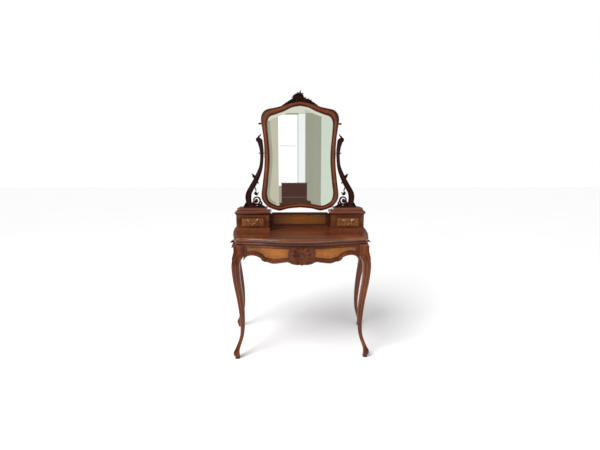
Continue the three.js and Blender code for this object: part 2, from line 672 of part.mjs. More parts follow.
const frameFrontY = mirrorY - mirrorDepth / 2;
const frameBackY = mirrorY + mirrorDepth / 2;
const glassY = frameFrontY + rebate;
const boardY = glassY + glassThickness + gap;
const frameOutline = (outwards) => new THREE.Shape(frameCurve(outerHalf, outwards));
const openingOutline = (outwards) => new THREE.Shape(frameCurve(innerHalf, outwards));
const mirrorOpening = elevation(openingOutline(0), frameFrontY - 1, frameBackY + 1);
const rebateCut = elevation(openingOutline(rebateLap + gap), glassY - gap, frameBackY + 1);
const pivotBore = (side, from, to) => {
  const radius = pivotRadius + pivotClearance;
  const hole = new THREE.CylinderGeometry(radius, radius, to - from, 12);
  return hole.rotateZ(Math.PI / 2).translate(side * (from + to) / 2, mirrorY, pivotZ);
};
const plateBlock = (side, grow) => {
  const [thick, wide, tall] = swivelPlate.map((size) => size / 2 + grow);
  const inner = side * (waistHalf - thick);
  const outer = side * (waistHalf + thick);
  return block(Math.min(inner, outer), Math.max(inner, outer),
    mirrorY - wide, mirrorY + wide, pivotZ - tall, pivotZ + tall);
};
const pinEnd = waistHalf - pinDepth;
const pinSocket = (side) => pivotBore(side, pinEnd - 1, waistHalf + 2);
add('mirror_frame', cut(
  elevation(frameOutline(0), frameFrontY, frameBackY),
  mirrorOpening, rebateCut, pinSocket(-1), pinSocket(1), plateBlock(-1, gap), plateBlock(1, gap)), mahogany);
add('mirror_glass', elevation(openingOutline(rebateLap), glassY, glassY + glassThickness), silvered);
add('mirror_backboard', elevation(openingOutline(rebateLap), boardY, boardY + boardThickness), drawerLining);

// Carved crest on the arch, leaning a little to one side as the leaves do.
function crestShape() {
  const wide = mirrorHalf * 0.5;
  const outline = [
    [-wide, -46], [-wide * 0.8, -28], [-wide * 0.5, -6], [-wide * 0.4, 8], [-wide * 0.27, 22],
    [-wide * 0.12, 30], [-8, crestHeight - 15], [0, crestHeight], [8, crestHeight - 13],
    [wide * 0.15, 26], [wide * 0.24, 18],
    [wide * 0.28, 4], [wide * 0.38, 12], [wide * 0.52, 2], [wide * 0.8, -28], [wide, -46],
    [wide * 0.6, -66], [0, -50], [-wide * 0.6, -66],
  ].map(([x, z]) => new THREE.Vector2(x, archZ + z));
  return new THREE.Shape(outline);
}
const crestY = mirrorY - crestThickness / 2;
add('mirror_crest', cut(
  elevation(crestShape(), crestY, crestY + crestThickness, 3),
  elevation(frameOutline(gap), frameFrontY - 1, frameBackY + 1)), darkMahogany);

// ---------------------------------------------------------------- standards and swivels

// Right-hand stem. Each point starts with a distance out from the standard's inner edge. Its second number is
// a share of the height from foot to swivel in the low lists, and of the finial's height in the high lists.
const stemOuterLow = [
  [116, 0.0], [124, 0.1], [125, 0.18], [121, 0.26], [111, 0.335], [93, 0.41], [73, 0.5], [51, 0.615],
  [34, 0.72], [24, 0.83], [standardNeck + 0.5, 0.93],
];
const stemOuterHigh = [[standardNeck, 0], [20, 0.274], [31, 0.484], [41, 0.677], [42, 0.806], [33, 0.903]];
const stemInnerHigh = [[17, 0.887], [10, 0.742], [6, 0.484], [2, 0.274], [0.5, 0.065]];
const stemInnerLow = [
  [0.5, 0.93], [1, 0.84], [5, 0.73], [22, 0.584], [39, 0.474], [56, 0.38], [70, 0.31], [77, 0.24],
  [76, 0.16], [84, 0.0],
];

function stemShape(side) {
  const rise = pivotZ - standardFootZ;
  const spread = (boxMiddleX - standardInnerX) / stemReach;
  const low = ([out, share]) => [side * (standardInnerX + out * spread), standardFootZ + share * rise];
  const high = ([out, share]) => [side * (standardInnerX + out), pivotZ + share * finialHeight];
  const tip = [side * (standardInnerX + 18), pivotZ + finialHeight];
  return new THREE.Shape([
    ...spline([...stemOuterLow.map(low), ...stemOuterHigh.map(high), tip], 40),
    ...spline([...stemInnerHigh.map(high), ...stemInnerLow.map(low)], 34),
  ]);
}

const standardY = [mirrorY - standardThickness / 2, mirrorY + standardThickness / 2];
const footZ = [standardFootZ, standardFootZ + standardFoot];
for (const [word, side] of [['left', -1], ['right', 1]]) {
  const stem = elevation(stemShape(side), ...standardY, 3);
  const scroll = new THREE.CylinderGeometry(scrollRadius, scrollRadius, standardThickness - 4, 28);
  scroll.translate(side * scrollX, mirrorY, standardFootZ + scrollLift);
  const footX = [side * (boxMiddleX - footInner), side * (boxMiddleX + footOuter)].sort((a, b) => a - b);
  const neck = block(...[scrollX - 16, scrollX + 60].map((x) => side * x).sort((a, b) => a - b),
    standardY[0] + 3, standardY[1] - 3, standardFootZ + 4, standardFootZ + 34);
  const foot = block(...footX, standardY[0] - 2, standardY[1] + 2, ...footZ);
  add(`${word}_standard`, cut(join(stem, scroll, neck, foot), pivotBore(side, standardInnerX - 4,
    standardInnerX + standardNeck + 4)), darkMahogany);

  add(`${word}_swivel_plate`, cut(
    plateBlock(side, 0), pivotBore(side, waistHalf - 5, waistHalf + 5)), brass);

  const reach = standardInnerX + standardNeck + pivotClearance - pinEnd;
  const screwProfile = [
    [0, 0], [pivotRadius, 0], [pivotRadius, reach],
    [pivotRadius * 1.8, reach], [pivotRadius * 1.8, reach + 2.5],
    [2.4, reach + 4], [2.4, reach + 7], [knobRadius * 0.8, reach + 9], [knobRadius, reach + 12],
    [knobRadius * 0.8, reach + 15], [0, reach + 17.5],
  ];
  add(`${word}_swivel_screw`, turnedAlongX(
    screwProfile, side * pinEnd, mirrorY, pivotZ, side), brass);
}

// Turned buds on the shoulders of the frame.
const budHeight = 0.788; // as a share of the frame's height
const budZ = lobeZ + budHeight * mirrorHeight;
const budRadius = 4;
const budX = Math.max(...[-budRadius, 0, budRadius].map((away) => frameHalfAt(budZ + away)));
for (const [word, side] of [['left', -1], ['right', 1]]) {
  const profile = [[0, 0], [budRadius, 0], [budRadius, 3], [6.5, 6], [5, 10], [2, 15], [0, 16]];
  add(`${word}_frame_bud`, turnedAlongX(profile, side * (budX + gap), mirrorY, budZ, side), darkMahogany);
}

export default vanity;
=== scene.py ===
"""Vanity table with a tilting mirror: the polished, carved surface of each piece, over the fixed frame."""

import bpy
import numpy as np
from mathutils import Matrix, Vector


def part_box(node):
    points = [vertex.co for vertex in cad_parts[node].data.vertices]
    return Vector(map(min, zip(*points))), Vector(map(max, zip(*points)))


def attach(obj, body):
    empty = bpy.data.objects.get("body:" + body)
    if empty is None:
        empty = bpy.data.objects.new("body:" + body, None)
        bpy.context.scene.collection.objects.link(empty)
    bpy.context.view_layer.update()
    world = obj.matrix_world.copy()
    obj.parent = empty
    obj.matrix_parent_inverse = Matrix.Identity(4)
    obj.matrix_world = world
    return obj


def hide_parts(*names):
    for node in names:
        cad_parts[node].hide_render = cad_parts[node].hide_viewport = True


bl_info = {
    "name": "Mahogany vanity table",
    "version": (1, 0, 0),
    "blender": (4, 5, 0),
    "location": "3D View > Sidebar > Vanity",
    "description": "Builds a carved mahogany vanity table with two trinket boxes and a tilting mirror",
    "category": "Object",
}

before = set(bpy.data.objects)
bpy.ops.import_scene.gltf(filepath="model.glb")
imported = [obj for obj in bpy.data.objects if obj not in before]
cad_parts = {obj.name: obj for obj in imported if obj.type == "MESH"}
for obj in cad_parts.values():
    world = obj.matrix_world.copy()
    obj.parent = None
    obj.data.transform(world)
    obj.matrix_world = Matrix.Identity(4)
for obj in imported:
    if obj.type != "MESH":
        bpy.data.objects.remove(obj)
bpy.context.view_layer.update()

SIDES = (("left", -1), ("right", 1))
MM = 0.001


def node_box(name):
    """Lowest and highest corner of a frame node, in millimetres."""
    low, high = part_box(name)
    return np.array(low) / MM, np.array(high) / MM


# ------------------------------------------------------------------ curves


def bend(knots, count, closed=False):
    """A smooth curve through the knots, read at count places equal in length.

    Between two knots it is a cubic whose slope at each end is half the step between that knot's neighbours.
    """
    k = np.array(knots, float)
    if closed:
        k = np.vstack([k[-1:], k, k[:2]])
    else:
        k = np.vstack([2 * k[0] - k[1], k, 2 * k[-1] - k[-2]])
    t = np.linspace(0, 1, 24, endpoint=False)[None, :, None]
    a, b, c, d = (k[i : len(k) - 3 + i, None, :] for i in range(4))
    curve = 0.5 * (2 * b + (c - a) * t + (2 * a - 5 * b + 4 * c - d) * t**2 + (3 * b - a - 3 * c + d) * t**3)
    curve = np.vstack([curve.reshape(-1, k.shape[1]), k[-2]])
    length = np.r_[0, np.cumsum(np.linalg.norm(np.diff(curve, axis=0), axis=1))]
    places = np.linspace(0, length[-1], count, endpoint=not closed)
    return np.stack([np.interp(places, length, column) for column in curve.T], 1)


def spans(knots, steps):
    """The same curve read at steps places between each knot and the next, so two lists stay paired."""
    k = np.array(knots, float)
    k = np.vstack([2 * k[0] - k[1], k, 2 * k[-1] - k[-2]])
    t = np.linspace(0, 1, steps, endpoint=False)[None, :, None]
    a, b, c, d = (k[i : len(k) - 3 + i, None, :] for i in range(4))
    curve = 0.5 * (2 * b + (c - a) * t + (2 * a - 5 * b + 4 * c - d) * t**2 + (3 * b - a - 3 * c + d) * t**3)
    return np.vstack([curve.reshape(-1, k.shape[1]), k[-2]])


def bezier(points, count):
    """A Bezier curve: each point weighted by its Bernstein polynomial of the curve's place t from 0 to 1."""
    t = np.linspace(0, 1, count)[:, None]
    p = np.array(points, float)
    if len(p) == 3:
        return (1 - t) ** 2 * p[0] + 2 * t * (1 - t) * p[1] + t**2 * p[2]
    return (1 - t) ** 3 * p[0] + 3 * t * (1 - t) ** 2 * p[1] + 3 * t**2 * (1 - t) * p[2] + t**3 * p[3]


def smoothly(x, low, high):
    """0 below low, 1 above high and 3s^2 - 2s^3 between them."""
    s = np.clip((x - low) / (high - low), 0, 1)
    return s * s * (3 - 2 * s)


def bump(x, middle, width):
    """A bell of height 1 at middle: e to the minus of the square of the distance over the width."""
    return np.exp(-(((x - middle) / width) ** 2))


def inset(path, distance, closed=True):
    """The path moved to the left by distance: each point goes along the mitre of the two edges there."""
    p = np.array(path, float)
    before = np.roll(p, 1, 0) if closed else np.vstack([2 * p[0] - p[1], p[:-1]])
    after = np.roll(p, -1, 0) if closed else np.vstack([p[1:], 2 * p[-1] - p[-2]])
    a, b = p - before, after - p
    a /= np.linalg.norm(a, axis=1)[:, None]
    b /= np.linalg.norm(b, axis=1)[:, None]
    na, nb = np.stack([-a[:, 1], a[:, 0]], 1), np.stack([-b[:, 1], b[:, 0]], 1)
    spread = 1 + (na * nb).sum(1)[:, None]
    return p + distance * (na + nb) / np.maximum(spread, 0.4)


def rounded_rectangle(x0, x1, y0, y1, radius, steps=5, straight=7):
    """A rectangle with quarter circles at its corners, anticlockwise, with extra places along its sides."""
    r = min(radius, (x1 - x0) / 2 - 0.01, (y1 - y0) / 2 - 0.01)
    turn = np.linspace(0, np.pi / 2, steps)
    corners = []
    for cx, cy, start in ((x1 - r, y1 - r, 0), (x0 + r, y1 - r, 1), (x0 + r, y0 + r, 2), (x1 - r, y0 + r, 3)):
        a = turn + start * np.pi / 2
        corners.append(np.stack([cx + r * np.cos(a), cy + r * np.sin(a)], 1))
    t = np.linspace(0, 1, straight + 2)[1:-1, None]
    ring = []
    for i, corner in enumerate(corners):
        after = corners[(i + 1) % 4]
        ring += [corner, corner[-1] + (after[0] - corner[-1]) * t]
    return np.vstack(ring)


# ------------------------------------------------------------------ surfaces


class Surfaces:
    """Closed surfaces gathered into one piece, with the run of the grain and the shade of the hollows.

    hollow is 1 in a recess, darkened there by polish and dust and by painted shade, and goes down to -1 on an
    edge worn bright and given a painted highlight.
    gold is 1 where a golden figured veneer is let into the wood.
    grain is the axis that the grain of the wood follows.
    """

    def __init__(self, grain="z"):
        self.order = {"x": (0, 1, 2), "y": (1, 0, 2), "z": (2, 0, 1)}[grain]
        self.points, self.quads, self.triangles, self.hollow, self.wood, self.gold = [], [], [], [], [], []
        self.total = 0

    def grid(self, points, hollow=0.0, ring=False, wood=None, gold=0.0):
        """Adds points[i, j], where j runs round the piece and closes on itself, and i runs along it.

        With ring, i closes on itself too. Without it, each end is closed by triangles round its middle.
        """
        rows, columns = points.shape[:2]
        flat = points.reshape(-1, 3)
        shade = np.broadcast_to(hollow, (rows, columns)).reshape(-1)
        veneer = np.broadcast_to(gold, (rows, columns)).reshape(-1)
        timber = flat[:, self.order] if wood is None else wood.reshape(-1, 3)
        index = np.arange(rows * columns).reshape(rows, columns)
        here, there = (index, np.roll(index, -1, 0)) if ring else (index[:-1], index[1:])
        quads = np.stack([here, np.roll(here, -1, 1), np.roll(there, -1, 1), there], -1).reshape(-1, 4)
        triangles = np.empty((0, 3), int)
        if not ring:
            n = rows * columns
            flat = np.vstack([flat, points[0].mean(0), points[-1].mean(0)])
            shade = np.r_[shade, shade[:columns].mean(), shade[-columns:].mean()]
            veneer = np.r_[veneer, veneer[:columns].mean(), veneer[-columns:].mean()]
            timber = np.vstack([timber, timber[:columns].mean(0), timber[-columns:].mean(0)])
            first, last = index[0], index[-1]
            triangles = np.vstack([
                np.stack([np.roll(first, -1), first, np.full(columns, n)], -1),
                np.stack([last, np.roll(last, -1), np.full(columns, n + 1)], -1),
            ])
        split = np.vstack([quads[:, [0, 1, 2]], quads[:, [0, 2, 3]], triangles])
        a, b, c = (flat[split[:, k]] - flat.mean(0) for k in range(3))
        if (a * np.cross(b, c)).sum() < 0:
            quads, triangles = quads[:, ::-1], triangles[:, ::-1]
        self.points.append(flat)
        self.hollow.append(shade)
        self.gold.append(veneer)
        self.wood.append(timber)
        self.quads.append(quads + self.total)
        self.triangles.append(triangles + self.total)
        self.total += len(flat)

    def piece(self, name, material, body, slot, replaces=(), mirrored=1, sharp=38):
        """Makes the gathered surfaces into a piece on a body. mirrored is -1 for the left-hand copy."""
        points = np.vstack(self.points) * (mirrored, 1, 1) * MM
        quads, triangles = np.vstack(self.quads), np.vstack(self.triangles)
        if mirrored < 0:
            quads, triangles = quads[:, ::-1], triangles[:, ::-1]
        mesh = bpy.data.meshes.new(name)
        mesh.vertices.add(len(points))
        mesh.vertices.foreach_set("co", points.ravel())
        mesh.loops.add(quads.size + triangles.size)
        mesh.loops.foreach_set("vertex_index", np.r_[quads.ravel(), triangles.ravel()].astype(np.int32))
        mesh.polygons.add(len(quads) + len(triangles))
        starts = np.r_[np.arange(len(quads)) * 4, quads.size + np.arange(len(triangles)) * 3]
        mesh.polygons.foreach_set("loop_start", starts.astype(np.int32))
        mesh.update(calc_edges=True)
        mesh.polygons.foreach_set("use_smooth", np.ones(len(mesh.polygons), bool))
        mesh.set_sharp_from_angle(angle=np.radians(sharp))
        for word, values in (("hollow", self.hollow), ("gold", self.gold)):
            mesh.attributes.new(word, "FLOAT", "POINT").data.foreach_set(
                "value", np.concatenate(values).astype(np.float32))
        plank = sum(map(ord, name)) % 37 * 0.173
        mesh.attributes.new("wood", "FLOAT_VECTOR", "POINT").data.foreach_set(
            "vector", (np.vstack(self.wood) * MM + plank).astype(np.float32).ravel())
        mesh.materials.append(material)
        made = bpy.data.objects.new(name, mesh)
        bpy.context.scene.collection.objects.link(made)
        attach(made, body)
        if replaces:
            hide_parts(*replaces)
        return made


def levels(surfaces, rings, axis="z", bow=0.0, shade=None, radius_steps=5, gold=None):
    """A body of stacked rounded rectangles, each (x0, x1, y0, y1, corner radius, height along the axis).

    bow pushes the low-y side out in a parabola that is highest in its middle and nothing at its ends.
    Along the y axis the rectangles stand upright: their second pair of sides is heights.
    """
    made = []
    for x0, x1, y0, y1, radius, height in rings:
        ring = rounded_rectangle(x0, x1, y0, y1, radius, radius_steps)
        x, y = ring.T
        if axis == "z":
            front = np.clip((y1 - y) / (y1 - y0), 0, 1) ** 3
            y = y - bow * front * (1 - ((x - (x0 + x1) / 2) / ((x1 - x0) / 2)) ** 2)
            made.append(np.stack([x, y, np.full(len(x), height)], 1))
        else:
            made.append(np.stack([x, np.full(len(x), height), y], 1))
    hollow = 0.0 if shade is None else np.array(shade, float)[:, None]
    veneer = 0.0 if gold is None else np.array(gold, float)[:, None]
    surfaces.grid(np.array(made), hollow, gold=veneer)


def turned(surfaces, profile, place, axis, hollow=0.0, sides=32, petals=0, petal_depth=0.0):
    """A turned body: profile is (radius, distance along the axis). petals ripples the radius by cosines."""
    radius, along = np.array(profile, float).T
    a = np.linspace(0, 2 * np.pi, sides, endpoint=False)
    r = radius[:, None] * (1 + petal_depth * np.cos(petals * a)[None])
    u, v, w = r * np.cos(a), r * np.sin(a), np.broadcast_to(along[:, None], r.shape)
    columns = {"x": (w, u, v), "-x": (-w, u, v), "y": (u, w, v), "-y": (u, -w, v), "z": (u, v, w)}[axis]
    surfaces.grid(np.stack(columns, -1) + np.array(place, float), hollow)


def leaf(surfaces, spine, width, depth, y, lobes=3, point=0.75, sink=0.5, lift=0.0):
    """A carved leaf in an upright plane: a smooth spine of (x, z) and a ribbed front, out from depth y.

    Half the width is a sine of the place along the spine raised to point, nicked lobes times along each edge.
    The front is the upper half of an ellipse, sunk along the middle rib; lift carries the tip forwards.
    """
    n = 30
    middle = bend(spine, n)
    step = np.gradient(middle, axis=0)
    step /= np.linalg.norm(step, axis=1)[:, None]
    normal = np.stack([-step[:, 1], step[:, 0]], 1)
    t = np.linspace(0, 1, n)
    nicked = 0.8 + 0.2 * np.abs(np.cos(lobes * np.pi * t))
    half = np.sin(np.pi * np.clip(t, 0.02, 0.985) ** point) ** 0.8 * nicked
    a = np.linspace(0, 2 * np.pi, 20, endpoint=False)
    across, out = np.cos(a), np.sin(a)
    rib = 1 - sink * bump(across, 0, 0.22) * (out > 0)
    vein = 1 - 0.22 * (0.5 + 0.5 * np.cos(2 * np.pi * (lobes * 1.5 * t[:, None] - 1.1 * np.abs(across))))
    rise = np.where(out > 0, out * rib * vein, out * 0.45 * np.ones((n, 1)))
    plane = middle[:, None] + normal[:, None] * (across[None, :, None] * (half * width / 2)[:, None, None])
    deep = y - depth * (0.35 + 0.65 * half)[:, None] * rise - lift * (t**2)[:, None]
    # Painted shade along the sunk middle rib and in the veins, and a painted highlight over the front of the
    # leaf.
    hollow = 0.9 * bump(across, 0, 0.25) * (out > 0) + (1 - vein) * 2.2 - 0.35 * (out > 0.5)
    surfaces.grid(np.stack([plane[..., 0], deep, plane[..., 1]], -1), hollow)


def ribbon(surfaces, outer, inner, y, depth, ridges, ring=False, taper=None):
    """A carved band between two paired edges in an upright plane.

    Across it, from the outer edge at 0 to the inner edge at 1, the front stands out by each ridge's share of
    depth, and the back stands the same depth behind. ridges is (place across, share of depth, hollow).
    """
    places, shares, shades = np.array(ridges, float).T
    scale = np.ones(len(outer)) if taper is None else taper
    back = np.array([0.97, 0.7, 0.3, 0.03])
    across = np.r_[places, back]
    out = np.r_[shares, -1, -1.08, -1.08, -1]
    plane = outer[:, None] + (inner - outer)[:, None] * across[None, :, None]
    deep = y - depth * out[None] * scale[:, None]
    length = np.r_[0, np.cumsum(np.linalg.norm(np.diff((outer + inner) / 2, axis=0), axis=1))]
    wide = np.linalg.norm(inner - outer, axis=1)[:, None] * across[None]
    wood = np.stack([np.broadcast_to(length[:, None], wide.shape), wide, deep], -1)
    surfaces.grid(np.stack([plane[..., 0], deep, plane[..., 1]], -1), np.r_[shades, 0, 0, 0, 0][None], ring,
                  wood)


def volute(surfaces, centre, radius, turns, start, direction, y, depth, width, eye=8.4):
    """A scroll round a domed eye: a spiral whose radius falls with the place along it raised to 1.5."""
    t = np.linspace(0, 1, 90)
    a = np.radians(start) + direction * 2 * np.pi * turns * t
    r = radius - width / 2 - (radius - width / 2 - eye) * t**1.5
    half = width / 2 * (1 - 0.5 * t)
    reach = np.stack([np.cos(a), np.sin(a)], 1)
    outer, inner = centre + reach * (r + half)[:, None], centre + reach * (r - half)[:, None]
    ribbon(surfaces, outer, inner, y, depth, BAND, taper=1 - 0.25 * t)
    # The eye's dome has painted shade round its foot and a painted highlight on its crown.
    dome = [(0.07, -0.3), (0.97, -0.3), (1, 0.6), (0.9, 0.8), (0.6, 1.0), (0.26, 1.08), (0.05, 1.1)]
    turned(surfaces, [(r * eye, out * depth) for r, out in dome], (centre[0], y, centre[1]), "-y",
           hollow=np.array([0, 0, 0.9, 0.3, -0.1, -0.4, -0.4])[:, None])


# Each ridge of a carved band: place across, share of depth, and hollow, the painted shade in its grooves or
# painted highlight on its rounds.
BAND = (
    (0.0, 0.25, 0.3), (0.03, 0.62, 0.1), (0.1, 0.8, -0.2), (0.19, 0.74, 0.5), (0.26, 0.66, 0.9),
    (0.34, 0.78, 0.3),
    (0.45, 0.94, -0.3), (0.55, 0.96, -0.4), (0.66, 0.86, -0.1), (0.75, 0.66, 0.8), (0.82, 0.72, 0.5),
    (0.9, 0.8, -0.2), (0.97, 0.62, 0.1), (1.0, 0.25, 0.3),
)

# ------------------------------------------------------------------ finishes


def wire(tree, kind, links=None, **settings):
    """A node with its settings, its inputs linked or set by name or number."""
    made = tree.nodes.new(kind)
    for name, value in settings.items():
        setattr(made, name, value)
    for name, value in (links or {}).items():
        if isinstance(value, bpy.types.NodeSocket):
            tree.links.new(value, made.inputs[name])
        else:
            made.inputs[name].default_value = value
    return made


def ramp(tree, factor, stops):
    """A colour ramp: stops are (place, colour)."""
    made = wire(tree, "ShaderNodeValToRGB", {0: factor})
    elements = made.color_ramp.elements
    while len(elements) < len(stops):
        elements.new(0.5)
    for element, (place, colour) in zip(elements, stops):
        element.position = place
        element.color = (*colour, 1)
    return made.outputs[0]


def streaks(tree, wood, stretch, detail=3.0, distortion=0.0):
    """Noise drawn out along the grain: the wood's place times stretch."""
    place = wire(tree, "ShaderNodeMapping", {"Vector": wood, "Scale": stretch}).outputs[0]
    return wire(tree, "ShaderNodeTexNoise",
                {"Vector": place, "Scale": 1.0, "Detail": detail, "Distortion": distortion}).outputs[0]


def blend_colour(tree, factor, first, second, how="MIX"):
    made = wire(tree, "ShaderNodeMix", data_type="RGBA", blend_type=how)
    for number, value in ((0, factor), (6, first), (7, second)):
        if isinstance(value, bpy.types.NodeSocket):
            tree.links.new(value, made.inputs[number])
        else:
            made.inputs[number].default_value = value if number == 0 else (*value, 1)
    return made.outputs[2]


def sums(tree, how, first, second, clamp=False):
    return wire(tree, "ShaderNodeMath", {0: first, 1: second}, operation=how, use_clamp=clamp).outputs[0]


def fresh(name):
    """A new material with only a shader and its output."""
    made = bpy.data.materials.new(name)
    made.use_nodes = True
    tree = made.node_tree
    tree.nodes.clear()
    shader = wire(tree, "ShaderNodeBsdfPrincipled")
    out = wire(tree, "ShaderNodeOutputMaterial", {0: shader.outputs[0]})
    out.target = "ALL"
    return made, tree, shader


def timber(name, dark, middle, light, figure=1.0, gloss=0.3, coat=0.35, coat_gloss=0.12, carved=True,
           ribbon_light=0.1, veneer=None, specular=0.2):
    """Polished wood: long soft bands, fine lines, short dark pores and a cross ribbon that catches the light.

    The run of the grain comes from the piece's own wood coordinates, or its object coordinates on the frame's
    own nodes. Hollows are darkened by their hollow value, a painted shade together with the darkened polish in
    them, broken up by noise, and worn edges are lightened with a painted highlight as well as wear.
    veneer is the dark, middle and light of the wood where the piece's gold value is 1.
    """
    made, tree, shader = fresh(name)
    if carved:
        wood = wire(tree, "ShaderNodeAttribute", attribute_name="wood").outputs["Vector"]
    else:
        wood = wire(tree, "ShaderNodeTexCoord").outputs["Object"]
    bands = streaks(tree, wood, (1.6 * figure, 17, 17), 4, 0.6)
    colour = ramp(tree, bands, [(0.3, dark), (0.5, middle), (0.7, light)])
    if veneer:
        golden = ramp(tree, bands, list(zip((0.3, 0.5, 0.7), veneer)))
        gold = wire(tree, "ShaderNodeAttribute", attribute_name="gold").outputs["Fac"]
        colour = blend_colour(tree, gold, colour, golden)
    lines = streaks(tree, wood, (5, 230, 230), 3)
    shade = ramp(tree, lines, [(0.3, (0.62, 0.6, 0.58)), (0.62, (1.12, 1.1, 1.08))])
    colour = blend_colour(tree, 0.75, colour, shade, "MULTIPLY")
    cross = streaks(tree, wood, (34, 6, 6), 2, 0.4)
    sheen = ramp(tree, cross, [(0.35, (1 - ribbon_light,) * 3), (0.65, (1 + ribbon_light,) * 3)])
    colour = blend_colour(tree, 1.0, colour, sheen, "MULTIPLY")
    pores = streaks(tree, wood, (70, 1100, 1100), 2)
    pits = ramp(tree, pores, [(0.34, (0.35, 0.3, 0.28)), (0.42, (1, 1, 1))])
    colour = blend_colour(tree, 0.55, colour, pits, "MULTIPLY")
    rough = streaks(tree, wood, (9, 14, 14), 3)
    if carved:
        hollow = wire(tree, "ShaderNodeAttribute", attribute_name="hollow").outputs["Fac"]
        broken = sums(tree, "MULTIPLY", hollow, sums(tree, "ADD", rough, 0.5))
        # Painted shade: recesses are mixed towards near black, together with the darkened polish in them.
        colour = blend_colour(tree, sums(tree, "MULTIPLY", broken, 0.82, True), colour,
                              (dark[0] * 0.16, dark[1] * 0.12, dark[2] * 0.12))
        # Painted highlight: where hollow is below 0, edges are mixed towards a lighter tone, together with
        # their wear.
        wear_and_painted_highlight = sums(tree, "MULTIPLY", broken, -0.45, True)
        colour = blend_colour(tree, wear_and_painted_highlight, colour, (min(1, light[0] * 1.5), light[1] * 1.55, light[2] * 1.7))
    tree.links.new(colour, shader.inputs["Base Color"])
    shine = wire(tree, "ShaderNodeMapRange", {0: rough, 3: gloss - 0.08, 4: gloss + 0.12}).outputs[0]
    tree.links.new(shine, shader.inputs["Roughness"])
    shader.inputs["Coat Weight"].default_value = coat
    shader.inputs["Coat Roughness"].default_value = coat_gloss
    shader.inputs["IOR"].default_value = 1.5
    shader.inputs["Specular IOR Level"].default_value = specular
    height = sums(tree, "ADD", sums(tree, "MULTIPLY", lines, 0.5), sums(tree, "MULTIPLY", pores, 0.6))
    relief = wire(tree, "ShaderNodeBump", {"Strength": 0.22, "Distance": 0.0004, "Height": height}).outputs[0]
    tree.links.new(relief, shader.inputs["Normal"])
    return made


def aged_brass(name, colour):
    """Cast brass: bright where rubbed, brown lacquer in the hollows and in soft cloudy patches."""
    made, tree, shader = fresh(name)
    place = wire(tree, "ShaderNodeTexCoord").outputs["Object"]
    cloud = wire(tree, "ShaderNodeTexNoise", {"Vector": place, "Scale": 260.0, "Detail": 4.0}).outputs[0]
    hollow = wire(tree, "ShaderNodeAttribute", attribute_name="hollow").outputs["Fac"]
    age = sums(tree, "ADD", sums(tree, "MULTIPLY", hollow, 0.7), sums(tree, "MULTIPLY", cloud, 0.5), True)
    stain = blend_colour(tree, age, colour, (colour[0] * 0.3, colour[1] * 0.24, colour[2] * 0.16))
    tree.links.new(stain, shader.inputs["Base Color"])
    shader.inputs["Metallic"].default_value = 1.0
    tree.links.new(wire(tree, "ShaderNodeMapRange", {0: cloud, 3: 0.18, 4: 0.42}).outputs[0],
                   shader.inputs["Roughness"])
    relief = wire(tree, "ShaderNodeBump", {"Strength": 0.3, "Distance": 0.0002, "Height": cloud}).outputs[0]
    tree.links.new(relief, shader.inputs["Normal"])
    return made


def silvered_glass(name, colour):
    """Mirror plate: clean silvering with a faint grey bloom and the slightest change of gloss."""
    made, tree, shader = fresh(name)
    place = wire(tree, "ShaderNodeTexCoord").outputs["Object"]
    bloom = wire(tree, "ShaderNodeTexNoise", {"Vector": place, "Scale": 3.0, "Detail": 5.0}).outputs[0]
    tone = ramp(tree, bloom, [(0.3, tuple(c * 0.95 for c in colour)), (0.7, colour)])
    tree.links.new(tone, shader.inputs["Base Color"])
    shader.inputs["Metallic"].default_value = 1.0
    tree.links.new(wire(tree, "ShaderNodeMapRange", {0: bloom, 3: 0.0, 4: 0.03}).outputs[0],
                   shader.inputs["Roughness"])
    return made


def matt(name, colour, glow=0.0, glow_colour=(1, 1, 1)):
    """A plain stage surface with a faint unevenness of tone."""
    made, tree, shader = fresh(name)
    place = wire(tree, "ShaderNodeTexCoord").outputs["Object"]
    drift = wire(tree, "ShaderNodeTexNoise", {"Vector": place, "Scale": 0.8, "Detail": 2.0}).outputs[0]
    tone = ramp(tree, drift, [(0.2, tuple(c * 0.98 for c in colour)), (0.8, colour)])
    tree.links.new(tone, shader.inputs["Base Color"])
    shader.inputs["Roughness"].default_value = 0.9
    shader.inputs["Specular IOR Level"].default_value = 0.1
    shader.inputs["Emission Color"].default_value = (*glow_colour, 1)
    shader.inputs["Emission Strength"].default_value = glow
    return made


def tones(colour, dark=(0.5, 0.42, 0.42), light=(1.5, 1.65, 1.6)):
    """The dark, middle and light of a timber, each a multiple of its colour."""
    colour = np.array(colour)
    return [tuple(colour * dark), tuple(colour), tuple(colour * light)]


def finish(name):
    """The finish of that name, made on first use from the user's colours."""
    if name in bpy.data.materials:
        return bpy.data.materials[name]
    paint = bpy.context.scene.vanity_finish
    mahogany = np.array(paint.mahogany)
    if name == "polished_mahogany":
        return timber(name, *tones(mahogany), coat=0.12)
    # The tops: mahogany made 15% lighter as a painted sheen, under a full coat of polish.
    if name == "mirror_polished_top":
        return timber(name, *tones(mahogany * 1.15), gloss=0.34, coat=1.0, coat_gloss=0.17, specular=0.32)
    if name == "golden_mahogany":
        return timber(name, *tones(mahogany), figure=0.7, coat=0.2, ribbon_light=0.07,
                      veneer=tones(paint.panels, (0.6, 0.52, 0.4), (1.35, 1.4, 1.4)))
    if name == "carved_mahogany":
        return timber(name, *tones(paint.carving, 0.5, (1.7, 1.6, 1.5)), gloss=0.36, coat=0.0, specular=0.08)
    if name == "lining_wood":
        return timber(name, *tones(paint.linings, (0.75, 0.7, 0.62), 1.18), gloss=0.62, coat=0.0,
                      carved=False)
    if name == "frame_mahogany":
        return timber(name, *tones(mahogany, light=1.4), gloss=0.45, coat=0.15, carved=False)
    if name == "aged_brass":
        return aged_brass(name, tuple(paint.brass))
    if name == "silvered_glass":
        return silvered_glass(name, tuple(paint.glass))
    raise ValueError(f"there is no finish called {name}")


# ------------------------------------------------------------------ table top and its mouldings


SIDE_FLARE, FRONT_BOW = 70, 66  # how much wider the top is behind, and how far its front bows out


